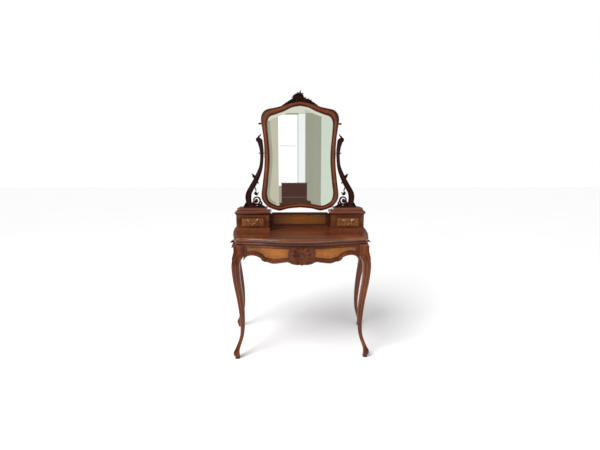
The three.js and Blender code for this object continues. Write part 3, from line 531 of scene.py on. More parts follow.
def top_edge():
    """Outline of the table top, anticlockwise from the crown of its front: bow, round corner, flared side.

    Also says which points lie on the straight back edge.
    """
    low, high = node_box("table_top")
    back, crown, half = high[1], low[1], high[0]
    front, corner = half - SIDE_FLARE, crown + FRONT_BOW
    straight, length = front - 46, high[1] - low[1] - FRONT_BOW
    bow = bezier([(0, crown), (straight * 0.46, crown), (straight * 0.72, corner - 4),
                  (straight, corner + 2)], 60)
    turn = bezier([(straight, corner + 2), (front - 4, corner + 3), (front, corner + 24)], 12)
    side = bezier([(front, corner + 24), (front + 21, corner + length * 0.23),
                   (front + 56, corner + length * 0.56), (half, back)], 60)
    right = np.vstack([bow, turn[1:-1], side])
    left = (right * (-1, 1))[::-1][:-1]
    behind = np.stack([np.linspace(half, -half, 40)[1:-1], np.full(38, back)], 1)
    ring = np.vstack([right, behind, left])
    return ring, ring[:, 1] > back - 0.01


def side_line(y):
    """Half width of the table top at a depth y."""
    ring, on_back = top_edge()
    right = ring[(ring[:, 0] > 0) & ~on_back]
    side = right[right[:, 1] > right[:, 1].min() + 80]
    return np.interp(y, side[:, 1], side[:, 0])


def build_table_top():
    """Top board: its outline set in by each profile row's first number, at the height of its second."""
    low, high = node_box("table_top")
    ring, on_back = top_edge()
    profile = ((9, 0), (7.4, 0.5), (6.6, 3), (4.4, 4), (3.6, 5.2), (1.6, 6.6), (0.4, 9), (0.1, 12),
               (0.3, 15), (1.2, 18), (2.8, 20.6), (5, 22.5), (7.6, 23.6), (10.5, 24), (14, 24))
    rows, shade = [], []
    for distance, height in profile:
        moved = inset(ring, distance)
        moved[on_back, 1] = high[1]
        rows.append(np.column_stack([moved, np.full(len(moved), low[2] + height)]))
        # Painted shade in the hollow under the rounded edge, and a painted highlight along its upper round.
        shade.append(0.7 if 0.4 < height < 5.5 else -0.35 if 18 < height < 23.8 else 0.0)
    top = Surfaces("x")
    top.grid(np.array(rows), np.array(shade)[:, None])
    top.piece("table_top_board", finish("mirror_polished_top"), "table", "mahogany", ["table_top"])


def build_top_mouldings():
    """Moulding under the top: a section of cove, bead and fillet swept along the inset outline."""
    low, high = node_box("front_top_moulding")
    butt, back = high[1], node_box("left_top_moulding")[1][1]
    section = np.array(((9, 18), (38, 18), (38, 0), (17, 0), (15.2, 0.6), (14.2, 2.2), (14.4, 4), (12.4, 5),
                        (10, 6.4), (8.9, 8.6), (8.8, 10.6), (9.6, 12.8), (11.4, 14), (12.6, 14.4),
                        (12.6, 16.4), (9.6, 16.6)))
    # Painted shade in the cove, the fillets and under the board, and a painted highlight on the bead.
    shade = np.array((0.9, 0, 0, 0.2, 0.1, 0.3, 0.9, 0.6, -0.1, -0.4, -0.5, -0.2, 0.5, 1, 1, 1))
    ring, on_back = top_edge()
    outline = ring[~on_back]
    middle = np.argmin(np.where(outline[:, 0] > -1, np.abs(outline[:, 0]), 999) + outline[:, 1])
    outline = np.roll(outline, -middle, 0)
    half = outline[outline[:, 0] >= -0.01]
    step = np.r_[0, np.cumsum(np.linalg.norm(np.diff(half, axis=0), axis=1))]
    at_butt = np.interp(butt, half[8:, 1], step[8:])
    read = lambda places: np.stack([np.interp(places, step, half[:, k]) for k in (0, 1)], 1)
    end = np.interp(back, half[8:, 1], step[8:]) if half[-1, 1] < back else step[-1]
    front_half = read(np.linspace(0, at_butt, 80))
    paths = {
        "front": np.vstack([(front_half * (-1, 1))[::-1][:-1], front_half]),
        "right": read(np.linspace(at_butt + 0.3, end, 60)),
    }
    for word, path in paths.items():
        offsets = np.array([inset(path, distance, closed=False) for distance in section[:, 0]])
        rows = np.concatenate([offsets, np.broadcast_to((low[2] + section[:, 1])[:, None, None],
                                                        (*offsets.shape[:2], 1))], -1)
        rows = rows.transpose(1, 0, 2)
        if word == "front":
            rows[[0, -1], :, 1] = butt
            bar = Surfaces("x")
            bar.grid(rows, shade[None])
            bar.piece("front_top_moulding_bar", finish("polished_mahogany"), "table", "mahogany",
                      ["front_top_moulding"])
            continue
        rows[0, :, 1], rows[-1, :, 1] = butt + 0.3, back
        for side_word, side in SIDES:
            bar = Surfaces("y")
            bar.grid(rows, shade[None])
            bar.piece(f"{side_word}_top_moulding_bar", finish("polished_mahogany"), "table", "mahogany",
                      [f"{side_word}_top_moulding"], side)


# ------------------------------------------------------------------ legs

KNEE, ANKLE, BACK_FOOT_SET_IN = 570, 195, 14
FRONT_STILE = (393.5, -189.0)  # outer face and front face of a front leg's square top
BACK_STILE = (459.2, 256.0)  # outer face and back face of a back leg's square top
FRONT_LEAN = 8  # how much further forward a front foot stands than sideways

# How far each edge of a cabriole leg stands out from the outer face of its square top, and how high.
LEG_OUTSIDE = ((0, 700), (0, 672), (3, 650), (10.5, 620), (16, 592), (17.8, KNEE), (17, 545), (13.5, 500),
               (7.5, 450), (0, 400), (-7, 350), (-13, 300), (-17.5, 250), (-20, 215), (-21, ANKLE),
               (-21, 180), (-20.5, 160), (-18, 130), (-11, 104), (-1, 78), (8, 58), (14.5, 46), (17, 35),
               (16, 24), (11, 14), (9, 8), (9, 0))
LEG_INSIDE = ((-52, 700), (-52, 640), (-49, 622), (-40, 606), (-33, 592), (-30, KNEE), (-31, 510),
              (-34.5, 460), (-40, 410), (-44.5, 360), (-48, 310), (-49.5, 270), (-49, 225), (-48, ANKLE),
              (-47, 180), (-45.5, 160), (-41, 130), (-34.5, 104), (-26.5, 80), (-19, 55), (-17, 35),
              (-17.5, 22), (-18.5, 12), (-18.5, 0))
BACK_OUTSIDE = ((0, 700), (0, 560), (-4, 400), (-7, 250), (-6, ANKLE), (-8, 160), (-5, 80), (-2, 34), (-2, 0))
BACK_INSIDE = ((-52, 700), (-52, 620), (-46, 540), (-39, 400), (-36, 280), (-34, ANKLE), (-33, 160),
               (-32, 100), (-31, 60), (-34, 34), (-33, 12), (-33, 0))


def build_legs():
    """Cabriole legs. At each height the section is a square with sides swelled by a power between 2.4 and 11.

    Two grooves run down each show face with a ridge between them, and leaves curl over the front knees. The
    section is set between the front outline and the side outline at that height.
    """
    z = np.r_[np.linspace(697, 545, 64), np.linspace(542, 215, 66), np.linspace(212, 60, 44), np.linspace(57,
        0, 26)]
    edge = {}
    for key, knots in (("out", LEG_OUTSIDE), ("in", LEG_INSIDE), ("back_out", BACK_OUTSIDE),
                       ("back_in", BACK_INSIDE)):
        curve = bend(knots, 400)
        edge[key] = np.interp(-z, -curve[:, 1], curve[:, 0])
    power = np.interp(z, (0, 20, 60, 120, 180, 300, 450, 560, 600, 640, 697),
                      (4.5, 3.2, 3, 2.6, 2.4, 2.8, 3.2, 3.6, 4.2, 8, 11))
    a = np.linspace(0, 2 * np.pi, 112, endpoint=False) + 0.01
    c, s = np.cos(a)[None], np.sin(a)[None]
    across = np.sign(c) * np.abs(c) ** (2 / power[:, None])
    deep = np.sign(s) * np.abs(s) ** (2 / power[:, None])
    groove_depth = bpy.context.scene.vanity_sizes.leg_groove / MM
    ridged = (smoothly(z, 120, 330) * (1 - smoothly(z, 600, 628)))[:, None]
    squared = (smoothly(z, 628, 640) * (1 - smoothly(z, 684, 688)))[:, None]
    for front in (True, False):
        word = "front" if front else "back"
        low, high = node_box(f"{word}_right_leg")
        stile_x, stile_y = FRONT_STILE if front else BACK_STILE
        set_in = 0 if front else BACK_FOOT_SET_IN * np.clip(1 - z / KNEE, 0, 1)
        x0, x1 = stile_x + edge["in"] - set_in, stile_x + edge["out"] - set_in
        if front:
            lean = FRONT_LEAN * np.clip(1 - z / KNEE, 0, 1)
            y0, y1 = stile_y - edge["out"] - lean, stile_y - edge["in"] - lean
        else:
            y0, y1 = stile_y + edge["back_in"], stile_y + edge["back_out"]
        facing_side = smoothly(across, 0.55, 0.9)
        facing_front = smoothly(-deep, 0.55, 0.9)
        relief, hollow = 0, 0
        for facing, place in ((facing_front, across), (facing_side, -deep if front else deep)):
            if not front and facing is facing_front:
                facing = facing * 0.9
            grooves = bump(place, 0.3, 0.1) + bump(place, -0.42, 0.1)
            crest = bump(place, -0.06, 0.22)
            panel = squared * (1 - smoothly(np.abs(place), 0.52, 0.64))
            rim = squared * bump(np.abs(place), 0.66, 0.06)
            carved = ridged * (0.8 * crest - groove_depth * grooves) - 1.5 * panel + 0.8 * rim
            relief = relief + facing * carved
            # Painted shade in the grooves and round the knee panel's rim, and a painted highlight on the ridge
            # between the grooves.
            hollow = hollow + facing * (ridged * (0.95 * grooves - 0.5 * crest) + 0.7 * rim)
        toe = bump(z, 31, 11)[:, None] * smoothly(across - deep * (1 if front else 0), 0.9, 1.6)
        sole = bump(z, 13, 4)[:, None]
        half_x, half_y = (x1 - x0)[:, None] / 2, (y1 - y0)[:, None] / 2
        size = np.sqrt(across**2 + deep**2)
        grow_x, grow_y = across / size * relief, deep / size * relief
        x = (x0 + x1)[:, None] / 2 + across * half_x + grow_x - across * 1.2 * sole + toe * 0.8
        y = (y0 + y1)[:, None] / 2 + deep * half_y + grow_y - deep * 1.2 * sole
        # Painted shade in the groove above the sole, and a painted highlight on the toe.
        hollow = np.clip(hollow + 0.8 * sole - 0.25 * toe, -1, 1)
        x, y = np.clip(x, None, high[0] + 2), np.clip(y, low[1] - 3, high[1] + 2)
        points = np.stack([x, y, np.broadcast_to(z[:, None], x.shape)], -1)
        for side_word, side in SIDES:
            leg = Surfaces("z")
            leg.grid(points, hollow)
            if front:
                curl_up = [(stile_x - 6, 66), (stile_x + 3, 54), (stile_x + 10, 42), (stile_x + 13, 31),
                           (stile_x + 8, 22)]
                leaf(leg, curl_up, 14, 8, y0[-18] + 7, lobes=2)
                scroll = [(stile_x - 42, 634), (stile_x - 32, 637), (stile_x - 20, 629),
                          (stile_x - 12, 611), (stile_x - 10, 588)]
                leaf(leg, scroll, 14, 9, stile_y - 4, lobes=4, lift=13, sink=0.5)
                curl = [(stile_x + 2, 690), (stile_x - 4, 668), (stile_x - 2, 646), (stile_x + 6, 622),
                        (stile_x + 11, 596)]
                leaf(leg, curl, 17, 8, stile_y - 3, lobes=4, lift=13, sink=0.6)
            leg.piece(f"{word}_{side_word}_cabriole_leg", finish("polished_mahogany"), "table", "mahogany",
                      [f"{word}_{side_word}_leg"], side)


# ------------------------------------------------------------------ aprons


def panel_moulding(inside):
    """Height and hollow of the moulding round a sunk panel, from the distance inside the panel's border: hollow
    is painted shade in its grooves and a painted highlight on its rounds.
    """
    height = (2.6 * bump(inside, -2.6, 2.3) - 2.4 * smoothly(inside, 0, 2.2) + 1.3 * bump(inside, 4.4, 1.1))
    hollow = (0.95 * bump(inside, 1.2, 1.5) + 0.75 * bump(inside, -6.4, 1.5)
              - 0.5 * bump(inside, -2.8, 1.5) + 0.4 * bump(inside, 6.6, 1))
    return height, hollow


def apron_board(node, points_at, along, lower, borders, grain):
    """A shaped apron: columns from its lower edge to its top, the front face raised by its mouldings.

    A thick bead and a hollow follow the lower edge, and the sunk panels lie inside the least of the borders'
    distances. points_at(along, height, out) places a point that stands out from the face.
    """
    top = node_box(node)[1][2]
    share = np.r_[np.linspace(0, 0.55, 44), np.linspace(0.56, 1, 34)][None]
    bottom = lower(along)[:, None]
    height = bottom + (top - bottom) * share
    above = height - bottom
    sizes = bpy.context.scene.vanity_sizes
    inside = np.minimum(above - 23, top - height - 11)
    for border in borders:
        inside = np.minimum(inside, border(along[:, None], height))
    rise, hollow = panel_moulding(inside)
    bead = smoothly(above, -1, 3) * (1 - smoothly(above, 8, 12))
    rise = rise + sizes.apron_bead / MM * bead
    # Painted shade in the hollow above the bead and under the top's moulding, and a painted highlight on the
    # bead.
    hollow = hollow + 0.95 * bump(above, 12.6, 1.7) - 0.45 * bump(above, 5, 3)
    hollow = hollow + 0.9 * smoothly(height, top - 4, top)
    front = points_at(along[:, None], height, rise)
    back_height = np.stack([top * np.ones(len(along)), (top + bottom[:, 0]) / 2, bottom[:, 0] + 0.5], 1)
    back = points_at(along[:, None], back_height, np.full((1, 3), -21.0))
    board = Surfaces(grain)
    plain = np.zeros((len(along), 3))
    field = smoothly(inside, 3, 7)
    board.grid(np.concatenate([front, back], 1), np.concatenate([np.clip(hollow, -1, 1), plain], 1),
               gold=np.concatenate([field, plain], 1))
    return board


def build_aprons():
    """Front and side aprons. The front one follows the bow of the top, the side ones its flared sides."""
    end = 341.5
    knots = bend([(0, 590), (50, 593), (80, 605), (109, 601), (165, 593), (196, 600), (214, 604),
                  (222, 613), (240, 622), (265, 631), (290, 634), (315, 629), (333, 616), (344, 596)], 500)
    lower = lambda x: np.interp(np.abs(x), knots[:, 0], knots[:, 1])
    ring, _ = top_edge()
    face = inset(ring, 15)
    front = face[np.argsort(face[:, 0])]
    front = front[front[:, 1] < -150]
    slope = np.gradient(front[:, 1], front[:, 0])

    def bowed(x, z, out):
        y = np.interp(x, front[:, 0], front[:, 1])
        lean = np.interp(x, front[:, 0], slope)
        long = np.sqrt(1 + lean**2)
        return np.stack(np.broadcast_arrays(x + out * lean / long, y - out / long, z), -1)

    oval = lambda x, z: 70 * (np.sqrt((x / 74) ** 2 + ((z - 648) / 66) ** 2) - 1)
    ends = lambda x, z: end - 17 - np.abs(x)
    along = np.linspace(-end + 0.4, end - 0.4, 420)
    board = apron_board("front_apron", bowed, along, lower, (oval, ends), "x")
    for side in (-1, 1):
        place = lambda x, z: (side * x, z)
        y = float(np.interp(205, front[:, 0], front[:, 1]))
        leaf(board, [place(238, 634), place(226, 622), place(216, 610), place(207, 602)], 22, 8, y - 3,
             lobes=2)
        leaf(board, [place(262, 648), place(246, 640), place(228, 627), place(214, 614)], 16, 8, y - 2,
             lobes=3)
        leaf(board, [place(210, 618), place(190, 606), place(170, 602), place(146, 607)], 13, 7, y - 6,
             lobes=3)
    board.piece("front_apron_board", finish("golden_mahogany"), "table", "panel_mahogany", ["front_apron"])

    low, high = node_box("right_apron")
    y0, y1 = low[1] + 0.3, high[1] - 0.3
    middle, half = (y0 + y1) / 2, (y1 - y0) / 2
    side_knots = bend([(0, 600), (0.2, 601), (0.42, 613), (0.72, 635), (0.9, 620), (1.0, 598)], 200)
    side_lower = lambda y: np.interp(np.abs(y - middle) / half, side_knots[:, 0], side_knots[:, 1])
    flank = face[(face[:, 0] > 0) & (face[:, 1] > -190) & (face[:, 1] < 259)]
    flank = flank[np.argsort(flank[:, 1])]
    flare = np.gradient(flank[:, 0], flank[:, 1])

    def flared(y, z, out):
        x, lean = np.interp(y, flank[:, 1], flank[:, 0]), np.interp(y, flank[:, 1], flare)
        long = np.sqrt(1 + lean**2)
        return np.stack(np.broadcast_arrays(x + out / long, y - out * lean / long, z), -1)

    shield = lambda y, z: 60 * (np.sqrt(((y - 19.5) / 60) ** 2 + ((z - 652) / 58) ** 2) - 1)
    tips = lambda y, z: half - 14 - np.abs(y - middle)
    for side_word, side in SIDES:
        along = np.linspace(y0, y1, 260)
        board = apron_board("right_apron", flared, along, side_lower, (shield, tips), "y")
        board.piece(f"{side_word}_apron_board", finish("golden_mahogany"), "table", "panel_mahogany",
                    [f"{side_word}_apron"], side)


def carved_shield(width, height, depth, top):
    """A cartouche: a ribbed shell above, leaves below and a rosette between, round a middle at x 0, y 0.

    In polar form the edge swells and nicks with cosines of the angle, and the front is a dome cut by ribs.
    """
    shield = Surfaces("z")
    centre = top - height * 0.46
    a = np.linspace(0, 2 * np.pi, 220, endpoint=False)
    up = np.sin(a)
    edge = 1 + 0.09 * np.abs(np.cos(4.5 * (a - np.pi / 2))) - 0.09
    reach_x = width / 2 * (0.86 - 0.12 * smoothly(-up, 0.2, 0.9)) * edge
    reach_z = np.where(up > 0, height * 0.44, height * 0.47) * edge
    r = np.r_[np.linspace(0.03, 0.95, 26), 0.985, 1.0, 1.0, 0.97]
    dome = np.sqrt(np.clip(1 - r**2, 0, 1))[:, None]
    ribs = 0.5 + 0.5 * np.cos(14 * (a - np.pi / 2) + 1.6 * np.sin(5 * r)[:, None] * np.sign(np.cos(a)))
    ring = bump(r, 0.3, 0.05)[:, None] * (up > -0.4)
    ribbed = 0.7 + 0.3 * ribs * smoothly(r, 0.3, 0.5)[:, None]
    out = depth * (0.3 + 0.5 * dome) * ribbed - depth * 0.2 * ring
    out = out + depth * 0.12 * bump(r, 0.18, 0.12)[:, None] * (0.5 + 0.5 * np.cos(6 * a))[None]
    out[-2:] = 0.4
    # Painted shade in the ring and between the ribs, and a painted highlight on the ribs of the dome.
    hollow = 0.9 * ring + (1 - ribs) * smoothly(r, 0.3, 0.5)[:, None] + 0.35 - 0.5 * ribs * dome
    x = r[:, None] * reach_x[None] * np.cos(a)
    z = centre + r[:, None] * reach_z[None] * np.sin(a)
    shield.grid(np.stack([x, -out, z], -1), np.clip(hollow, -1, 1))
    w, h = width, height
    for s in (-1, 1):
        leaf(shield, [(s * w * 0.06, top - h * 0.3), (s * w * 0.2, top - h * 0.14),
                      (s * w * 0.34, top - h * 0.03)], w * 0.2, depth * 0.55, -depth * 0.42, 2)
        leaf(shield, [(s * w * 0.14, top - h * 0.42), (s * w * 0.32, top - h * 0.32),
                      (s * w * 0.47, top - h * 0.2)], w * 0.19, depth * 0.55, -depth * 0.38, 2)
        leaf(shield, [(s * w * 0.16, top - h * 0.5), (s * w * 0.36, top - h * 0.52),
                      (s * w * 0.49, top - h * 0.44)], w * 0.18, depth * 0.55, -depth * 0.36, 2)
        leaf(shield, [(s * w * 0.14, top - h * 0.58), (s * w * 0.3, top - h * 0.7),
                      (s * w * 0.44, top - h * 0.72)], w * 0.19, depth * 0.55, -depth * 0.36, 2)
        leaf(shield, [(s * w * 0.08, top - h * 0.64), (s * w * 0.16, top - h * 0.82),
                      (s * w * 0.3, top - h * 1.01)], w * 0.19, depth * 0.55, -depth * 0.36, 2)
    leaf(shield, [(0, top - h * 0.66), (0, top - h * 0.84), (0, top - h * 1.05)], w * 0.22, depth * 0.6,
         -depth * 0.4, 2)
    leaf(shield, [(0, top - h * 0.34), (0, top - h * 0.16), (0, top - h * 0.01)], w * 0.22, depth * 0.6,
         -depth * 0.42, 2)
    return shield


def placed(surfaces, turn, shift):
    """Turns the gathered points round the vertical axis by turn, in radians, then shifts them."""
    c, s = np.cos(turn), np.sin(turn)
    spin = np.array(((c, s, 0), (-s, c, 0), (0, 0, 1)))
    surfaces.points = [p @ spin + np.array(shift) for p in surfaces.points]


def build_cartouches():
    """The carved shields at the middle of each apron; the side ones also carry a leaf that stands out."""
    low, high = node_box("front_cartouche")
    shield = carved_shield(high[0] - low[0], high[2] - low[2] + 4, 13.5, high[2])
    placed(shield, 0, (0, high[1] + 0.2, 0))
    shield.piece("front_carved_cartouche", finish("polished_mahogany"), "table", "mahogany",
                 ["front_cartouche"])
    low, high = node_box("right_cartouche")
    middle = (low[1] + high[1]) / 2
    face = side_line(middle) - 15
    slope = np.arctan2(side_line(middle + 30) - side_line(middle - 30), 60)
    for side_word, side in SIDES:
        shield = carved_shield(84, 84, 13, high[2])
        for x, z, lift in ((-15, -20, 20), (0, -22, 29), (15, -20, 20), (-9, -58, 15), (9, -58, 15)):
            leaf(shield, [(0, high[2] + z * 0.3 - 4), (x * 0.5, high[2] + z * 0.7), (x, high[2] + z)], 20, 11,
                 -8, 1, lift=lift)
        placed(shield, np.pi / 2 - slope, (face + 1.4, middle, 0))
        shield.piece(f"{side_word}_carved_cartouche", finish("polished_mahogany"), "table", "mahogany",
                     [f"{side_word}_cartouche"], side)


# ------------------------------------------------------------------ back panel and trinket boxes


def build_back_panel():
    """The low panel between the boxes: a sunk field in a moulded border, a base moulding and a capping."""
    low, high = node_box("back_panel")
    x0, x1, z0, z1 = low[0], high[0], low[2], high[2]
    border, stile = 13, 1.5
    panel = Surfaces("x")
    # Each step: how far in, how far it is sunk, and hollow, the painted shade or painted highlight there.
    steps = ((0, 0, 0.0), (0.4, -0.4, 0.0), (border - 4, -0.4, 0.1), (border - 3, 0.4, 0.9),
             (border - 1.5, -1.6, -0.4), (border + 0.5, -1.8, -0.4), (border + 2, 0.2, 0.9),
             (border + 3.4, 1.6, 0.6), (border + 6, 1.8, 0.1), (border + 20, 1.8, 0.0))
    foot = node_box("back_panel_base_moulding")[1][2]
    rings, shade = [(x0, x1, z0, z1, 1, high[1] - 0.4)], [0]
    for step, sunk, hollow in steps:
        up = max(step, 0)
        lift = (foot - z0) * min(1.0, step / (border - 4)) if step > 0.4 else 0
        rings.append((x0 + up * stile, x1 - up * stile, z0 + up * 0.3 + lift, z1 - up * 0.7, 1,
                      low[1] + sunk + 0.4))
        shade.append(hollow)
    levels(panel, rings, "y", shade=shade, gold=[0] + [float(step > border + 1) for step, *_ in steps])
    panel.piece("back_panel_board", finish("golden_mahogany"), "table", "panel_mahogany", ["back_panel"])
    for name, node, profile in (
        ("back_panel_base_bar", "back_panel_base_moulding",
         ((1, 0), (0, 0), (0, 0.5), (0.05, 0.56), (0.16, 0.6), (0.42, 0.68), (0.6, 0.8), (0.64, 0.9),
          (0.8, 0.96), (0.95, 1), (1, 1))),
        ("back_panel_capping_bar", "back_panel_capping",
         ((1, 0), (0.16, 0), (0.1, 0.1), (0.04, 0.3), (0, 0.5), (0.02, 0.74), (0.07, 0.93), (0.14, 1),
          (0.5, 1), (0.9, 1), (1, 1))),
    ):
        low, high = node_box(node)
        section = np.array(profile) * (high[1:] - low[1:]) + low[1:]
        x = np.linspace(low[0], high[0], 30)
        rows = np.concatenate([np.broadcast_to(x[:, None, None], (30, len(section), 1)),
                               np.broadcast_to(section, (30, len(section), 2))], -1)
        bar = Surfaces("x")
        # Painted shade in the moulding's hollows and a painted highlight on its round.
        bar.grid(rows, np.array([0, 0, -0.2, 0.4, 0.7, 0.3, 0.1, 0.5, -0.4, 0, 0])[None])
        bar.piece(name, finish("polished_mahogany"), "table", "mahogany", [node])


def build_boxes():
    """Plinths, carcasses, cornices and caps: stacked outlines set out by a profile, bowed at the front."""
    for word, side in SIDES:
        source = f"{word}_box_"
        low, high = node_box(source + "carcass")
        x0, x1 = (low[0], high[0]) if side > 0 else (-high[0], -low[0])
        y0, y1 = low[1], high[1]

        z = node_box(source + "plinth")[0][2]
        spread = 6
        # Each step: how far out, how high, and the painted shade or painted highlight there.
        steps = ((0, 0, 0), (0, 6.5, 0), (-0.4, 8, -0.4), (-1.6, 9, 0.3), (-1.2, 10, 0.7), (-2.2, 12, 0.3),
                 (-3.8, 13.6, 0.1), (-4.6, 15, 0.8), (-5.2, 16.4, -0.2), (-6, 17.8, 0.7), (-14, 18, 0.2))
        plinth = Surfaces("x")
        levels(plinth, [(x0 - spread - d, x1 + spread + d, y0 - spread - d, y1, 3, z + up) for d, up,
                        _ in steps], bow=4, shade=[h for *_, h in steps])
        plinth.piece(source + "plinth_moulding", finish("polished_mahogany"), "table", "mahogany",
                     [source + "plinth"], side)

        opening = (x0 + 30, x1 - 30, low[2] + 3, high[2] - 16)
        back = y1 - 10

        def loop(grow, y, radius=1.0, outer=False):
            a = (x0, x1, low[2], high[2]) if outer else opening
            return (a[0] - grow, a[1] + grow, a[2] - min(grow, 2.6 if not outer else 0), a[3] + grow, radius,
                    y)

        rings = [loop(0, back), loop(0, y0 + 30), loop(0, y0 + 2), loop(0.5, y0 - 0.8), loop(1.6, y0 - 1.8),
                 loop(3, y0 - 1.9),
                 loop(4.2, y0 - 0.9), loop(4.8, y0 + 0.6), loop(6.4, y0 + 0.4)]
        # Painted shade in the opening's rebate and under the bead, and a painted highlight on the bead.
        shade = [0.5, 0.6, 0.9, 0.2, -0.4, -0.3, 0.3, 0.95, 0.4]
        rings += [(x0 + 7.5, x1 - 7.5, low[2], high[2], 1, y0 + 0.3),
                  (x0 + 6, x1 - 6, low[2], high[2], 1, y0 + 0.9),
                  (x0 + 5, x1 - 5, low[2], high[2], 1, y0 + 0.6),
                  (x0 + 3.6, x1 - 3.6, low[2], high[2], 1, y0 + 0.0),
                  (x0 + 1.4, x1 - 1.4, low[2], high[2], 1, y0 + 0.7),
                  (x0 + 0.3, x1 - 0.3, low[2], high[2], 1, y0 + 2.4), (x0, x1, low[2], high[2], 1, y0 + 5),
                  (x0, x1, low[2], high[2], 1, y1)]
        shade += [0.0, 0.7, 0.7, 0.1, -0.4, -0.3, 0.0, 0.0]
        carcass = Surfaces("x")
        levels(carcass, rings, "y", shade=shade)
        carcass.piece(source + "case", finish("polished_mahogany"), "table", "mahogany", [source + "carcass"],
                      side)

        z = node_box(source + "cornice")[0][2]
        # Each step: how far out, how high, and the painted shade or painted highlight there.
        steps = ((-14, 0, 0.6), (1, 0, 0.9), (1.4, 2, 0.9), (2.2, 4.4, 0.5), (3.8, 6.6, 0.1),
                 (5.8, 7.8, -0.2), (6.4, 8.2, 0.6), (6.8, 9.2, 0.5), (8.2, 10, -0.1), (9, 12, -0.4),
                 (8.8, 14.4, -0.4), (8, 16.2, 0.0), (6, 17, 0.1), (2, 17, 0.5), (-14, 17, 0.6))
        cornice = Surfaces("x")
        levels(cornice, [(x0 - d, x1 + d, y0 - d, y1, 3, z + up) for d, up, _ in steps], bow=4,
               shade=[h for *_, h in steps])
        cornice.piece(source + "cornice_moulding", finish("polished_mahogany"), "table", "mahogany",
                      [source + "cornice"], side)

        low_k, high_k = node_box(source + "cap")
        z, rise = low_k[2], high_k[2] - low_k[2]
        swing = 222.0
        # Each step: how far out, how high, and the painted shade or painted highlight there.
        steps = ((6, 0, 0.6), (6, 2.4, 0), (5.4, 5.6, -0.3), (4, 7.4, 0), (2.4, 7.8, 0.7), (1.6, 8.6, 0.8),
                 (-0.6, 10, 0.3), (-4, 12.6, 0.3), (-6.6, 16, 0.2), (-7.8, 20, 0.1), (-8.2, 22, 0.4),
                 (-7.4, 22.8, 0.3), (-6.8, 24.6, -0.4), (-7.4, rise - 1.2, -0.3), (-9, rise, 0),
                 (-16, rise, 0.1))
        rings = []
        for d, up, _ in steps:
            inner = x0 - d if up < 7.9 else max(x0 - d, swing)
            rings.append((inner, x1 + d, y0 - d, y1 - (0 if up < 8 else 1), 3, z + up))
        cap = Surfaces("x")
        levels(cap, rings, bow=3, shade=[h for *_, h in steps])
        cap.piece(source + "coved_cap", finish("mirror_polished_top"), "table", "mahogany", [source + "cap"],
                  side)


def build_drawer_fronts():
    """Bowed drawer fronts with a cock bead round the edge and a slightly raised, figured field."""
    for word, side in SIDES:
        low, high = node_box(f"{word}_drawer_front")
        x0, x1 = (low[0], high[0]) if side > 0 else (-high[0], -low[0])
        z0, z1, face, back = low[2], high[2], low[1] + 6.0, high[1]
        # Each step: how far in, how far forward, and the painted shade or painted highlight there.
        steps = ((0, back, 0), (0, face + 1.6, 0.2), (0.3, face + 0.4, -0.3), (1.2, face - 0.3, -0.5),
                 (2.2, face + 0.3, 0), (2.8, face + 1.4, 1), (3.8, face + 1.3, 0.7), (7, face + 0.8, 0.1),
                 (9, face + 0.5, 0), (16, face + 0.4, 0), (24, face + 0.4, 0))
        made = []
        for i, (d, y, _) in enumerate(steps[:-1]):
            ring = rounded_rectangle(x0 + d, x1 - d, z0 + d, z1 - d, 0.6, 4, 15)
            u = (ring[:, 0] - (x0 + x1) / 2) / ((x1 - x0) / 2)
            crown = (0 if i == 0 else 5.6) * (1 - u**2)
            made.append(np.stack([ring[:, 0], y - crown, ring[:, 1]], 1))
        front = Surfaces("x")
        middle_z = (z0 + z1) / 2
        last = made[-1]
        for share in (0.7, 0.4, 0.15):
            z = middle_z + (last[:, 2] - middle_z) * share
            made.append(np.stack([last[:, 0], last[:, 1], z], 1))
        shade = [h for *_, h in steps[:-1]] + [0, 0, 0]
        field = [float(d > 8) for d, *_ in steps[:-1]] + [1, 1, 1]
        front.grid(np.array(made), np.array(shade, float)[:, None], gold=np.array(field)[:, None] * 0.5)
        front.piece(f"{word}_drawer_bowed_front", finish("golden_mahogany"), f"{word}_drawer",
                    "panel_mahogany", [f"{word}_drawer_front"], side)


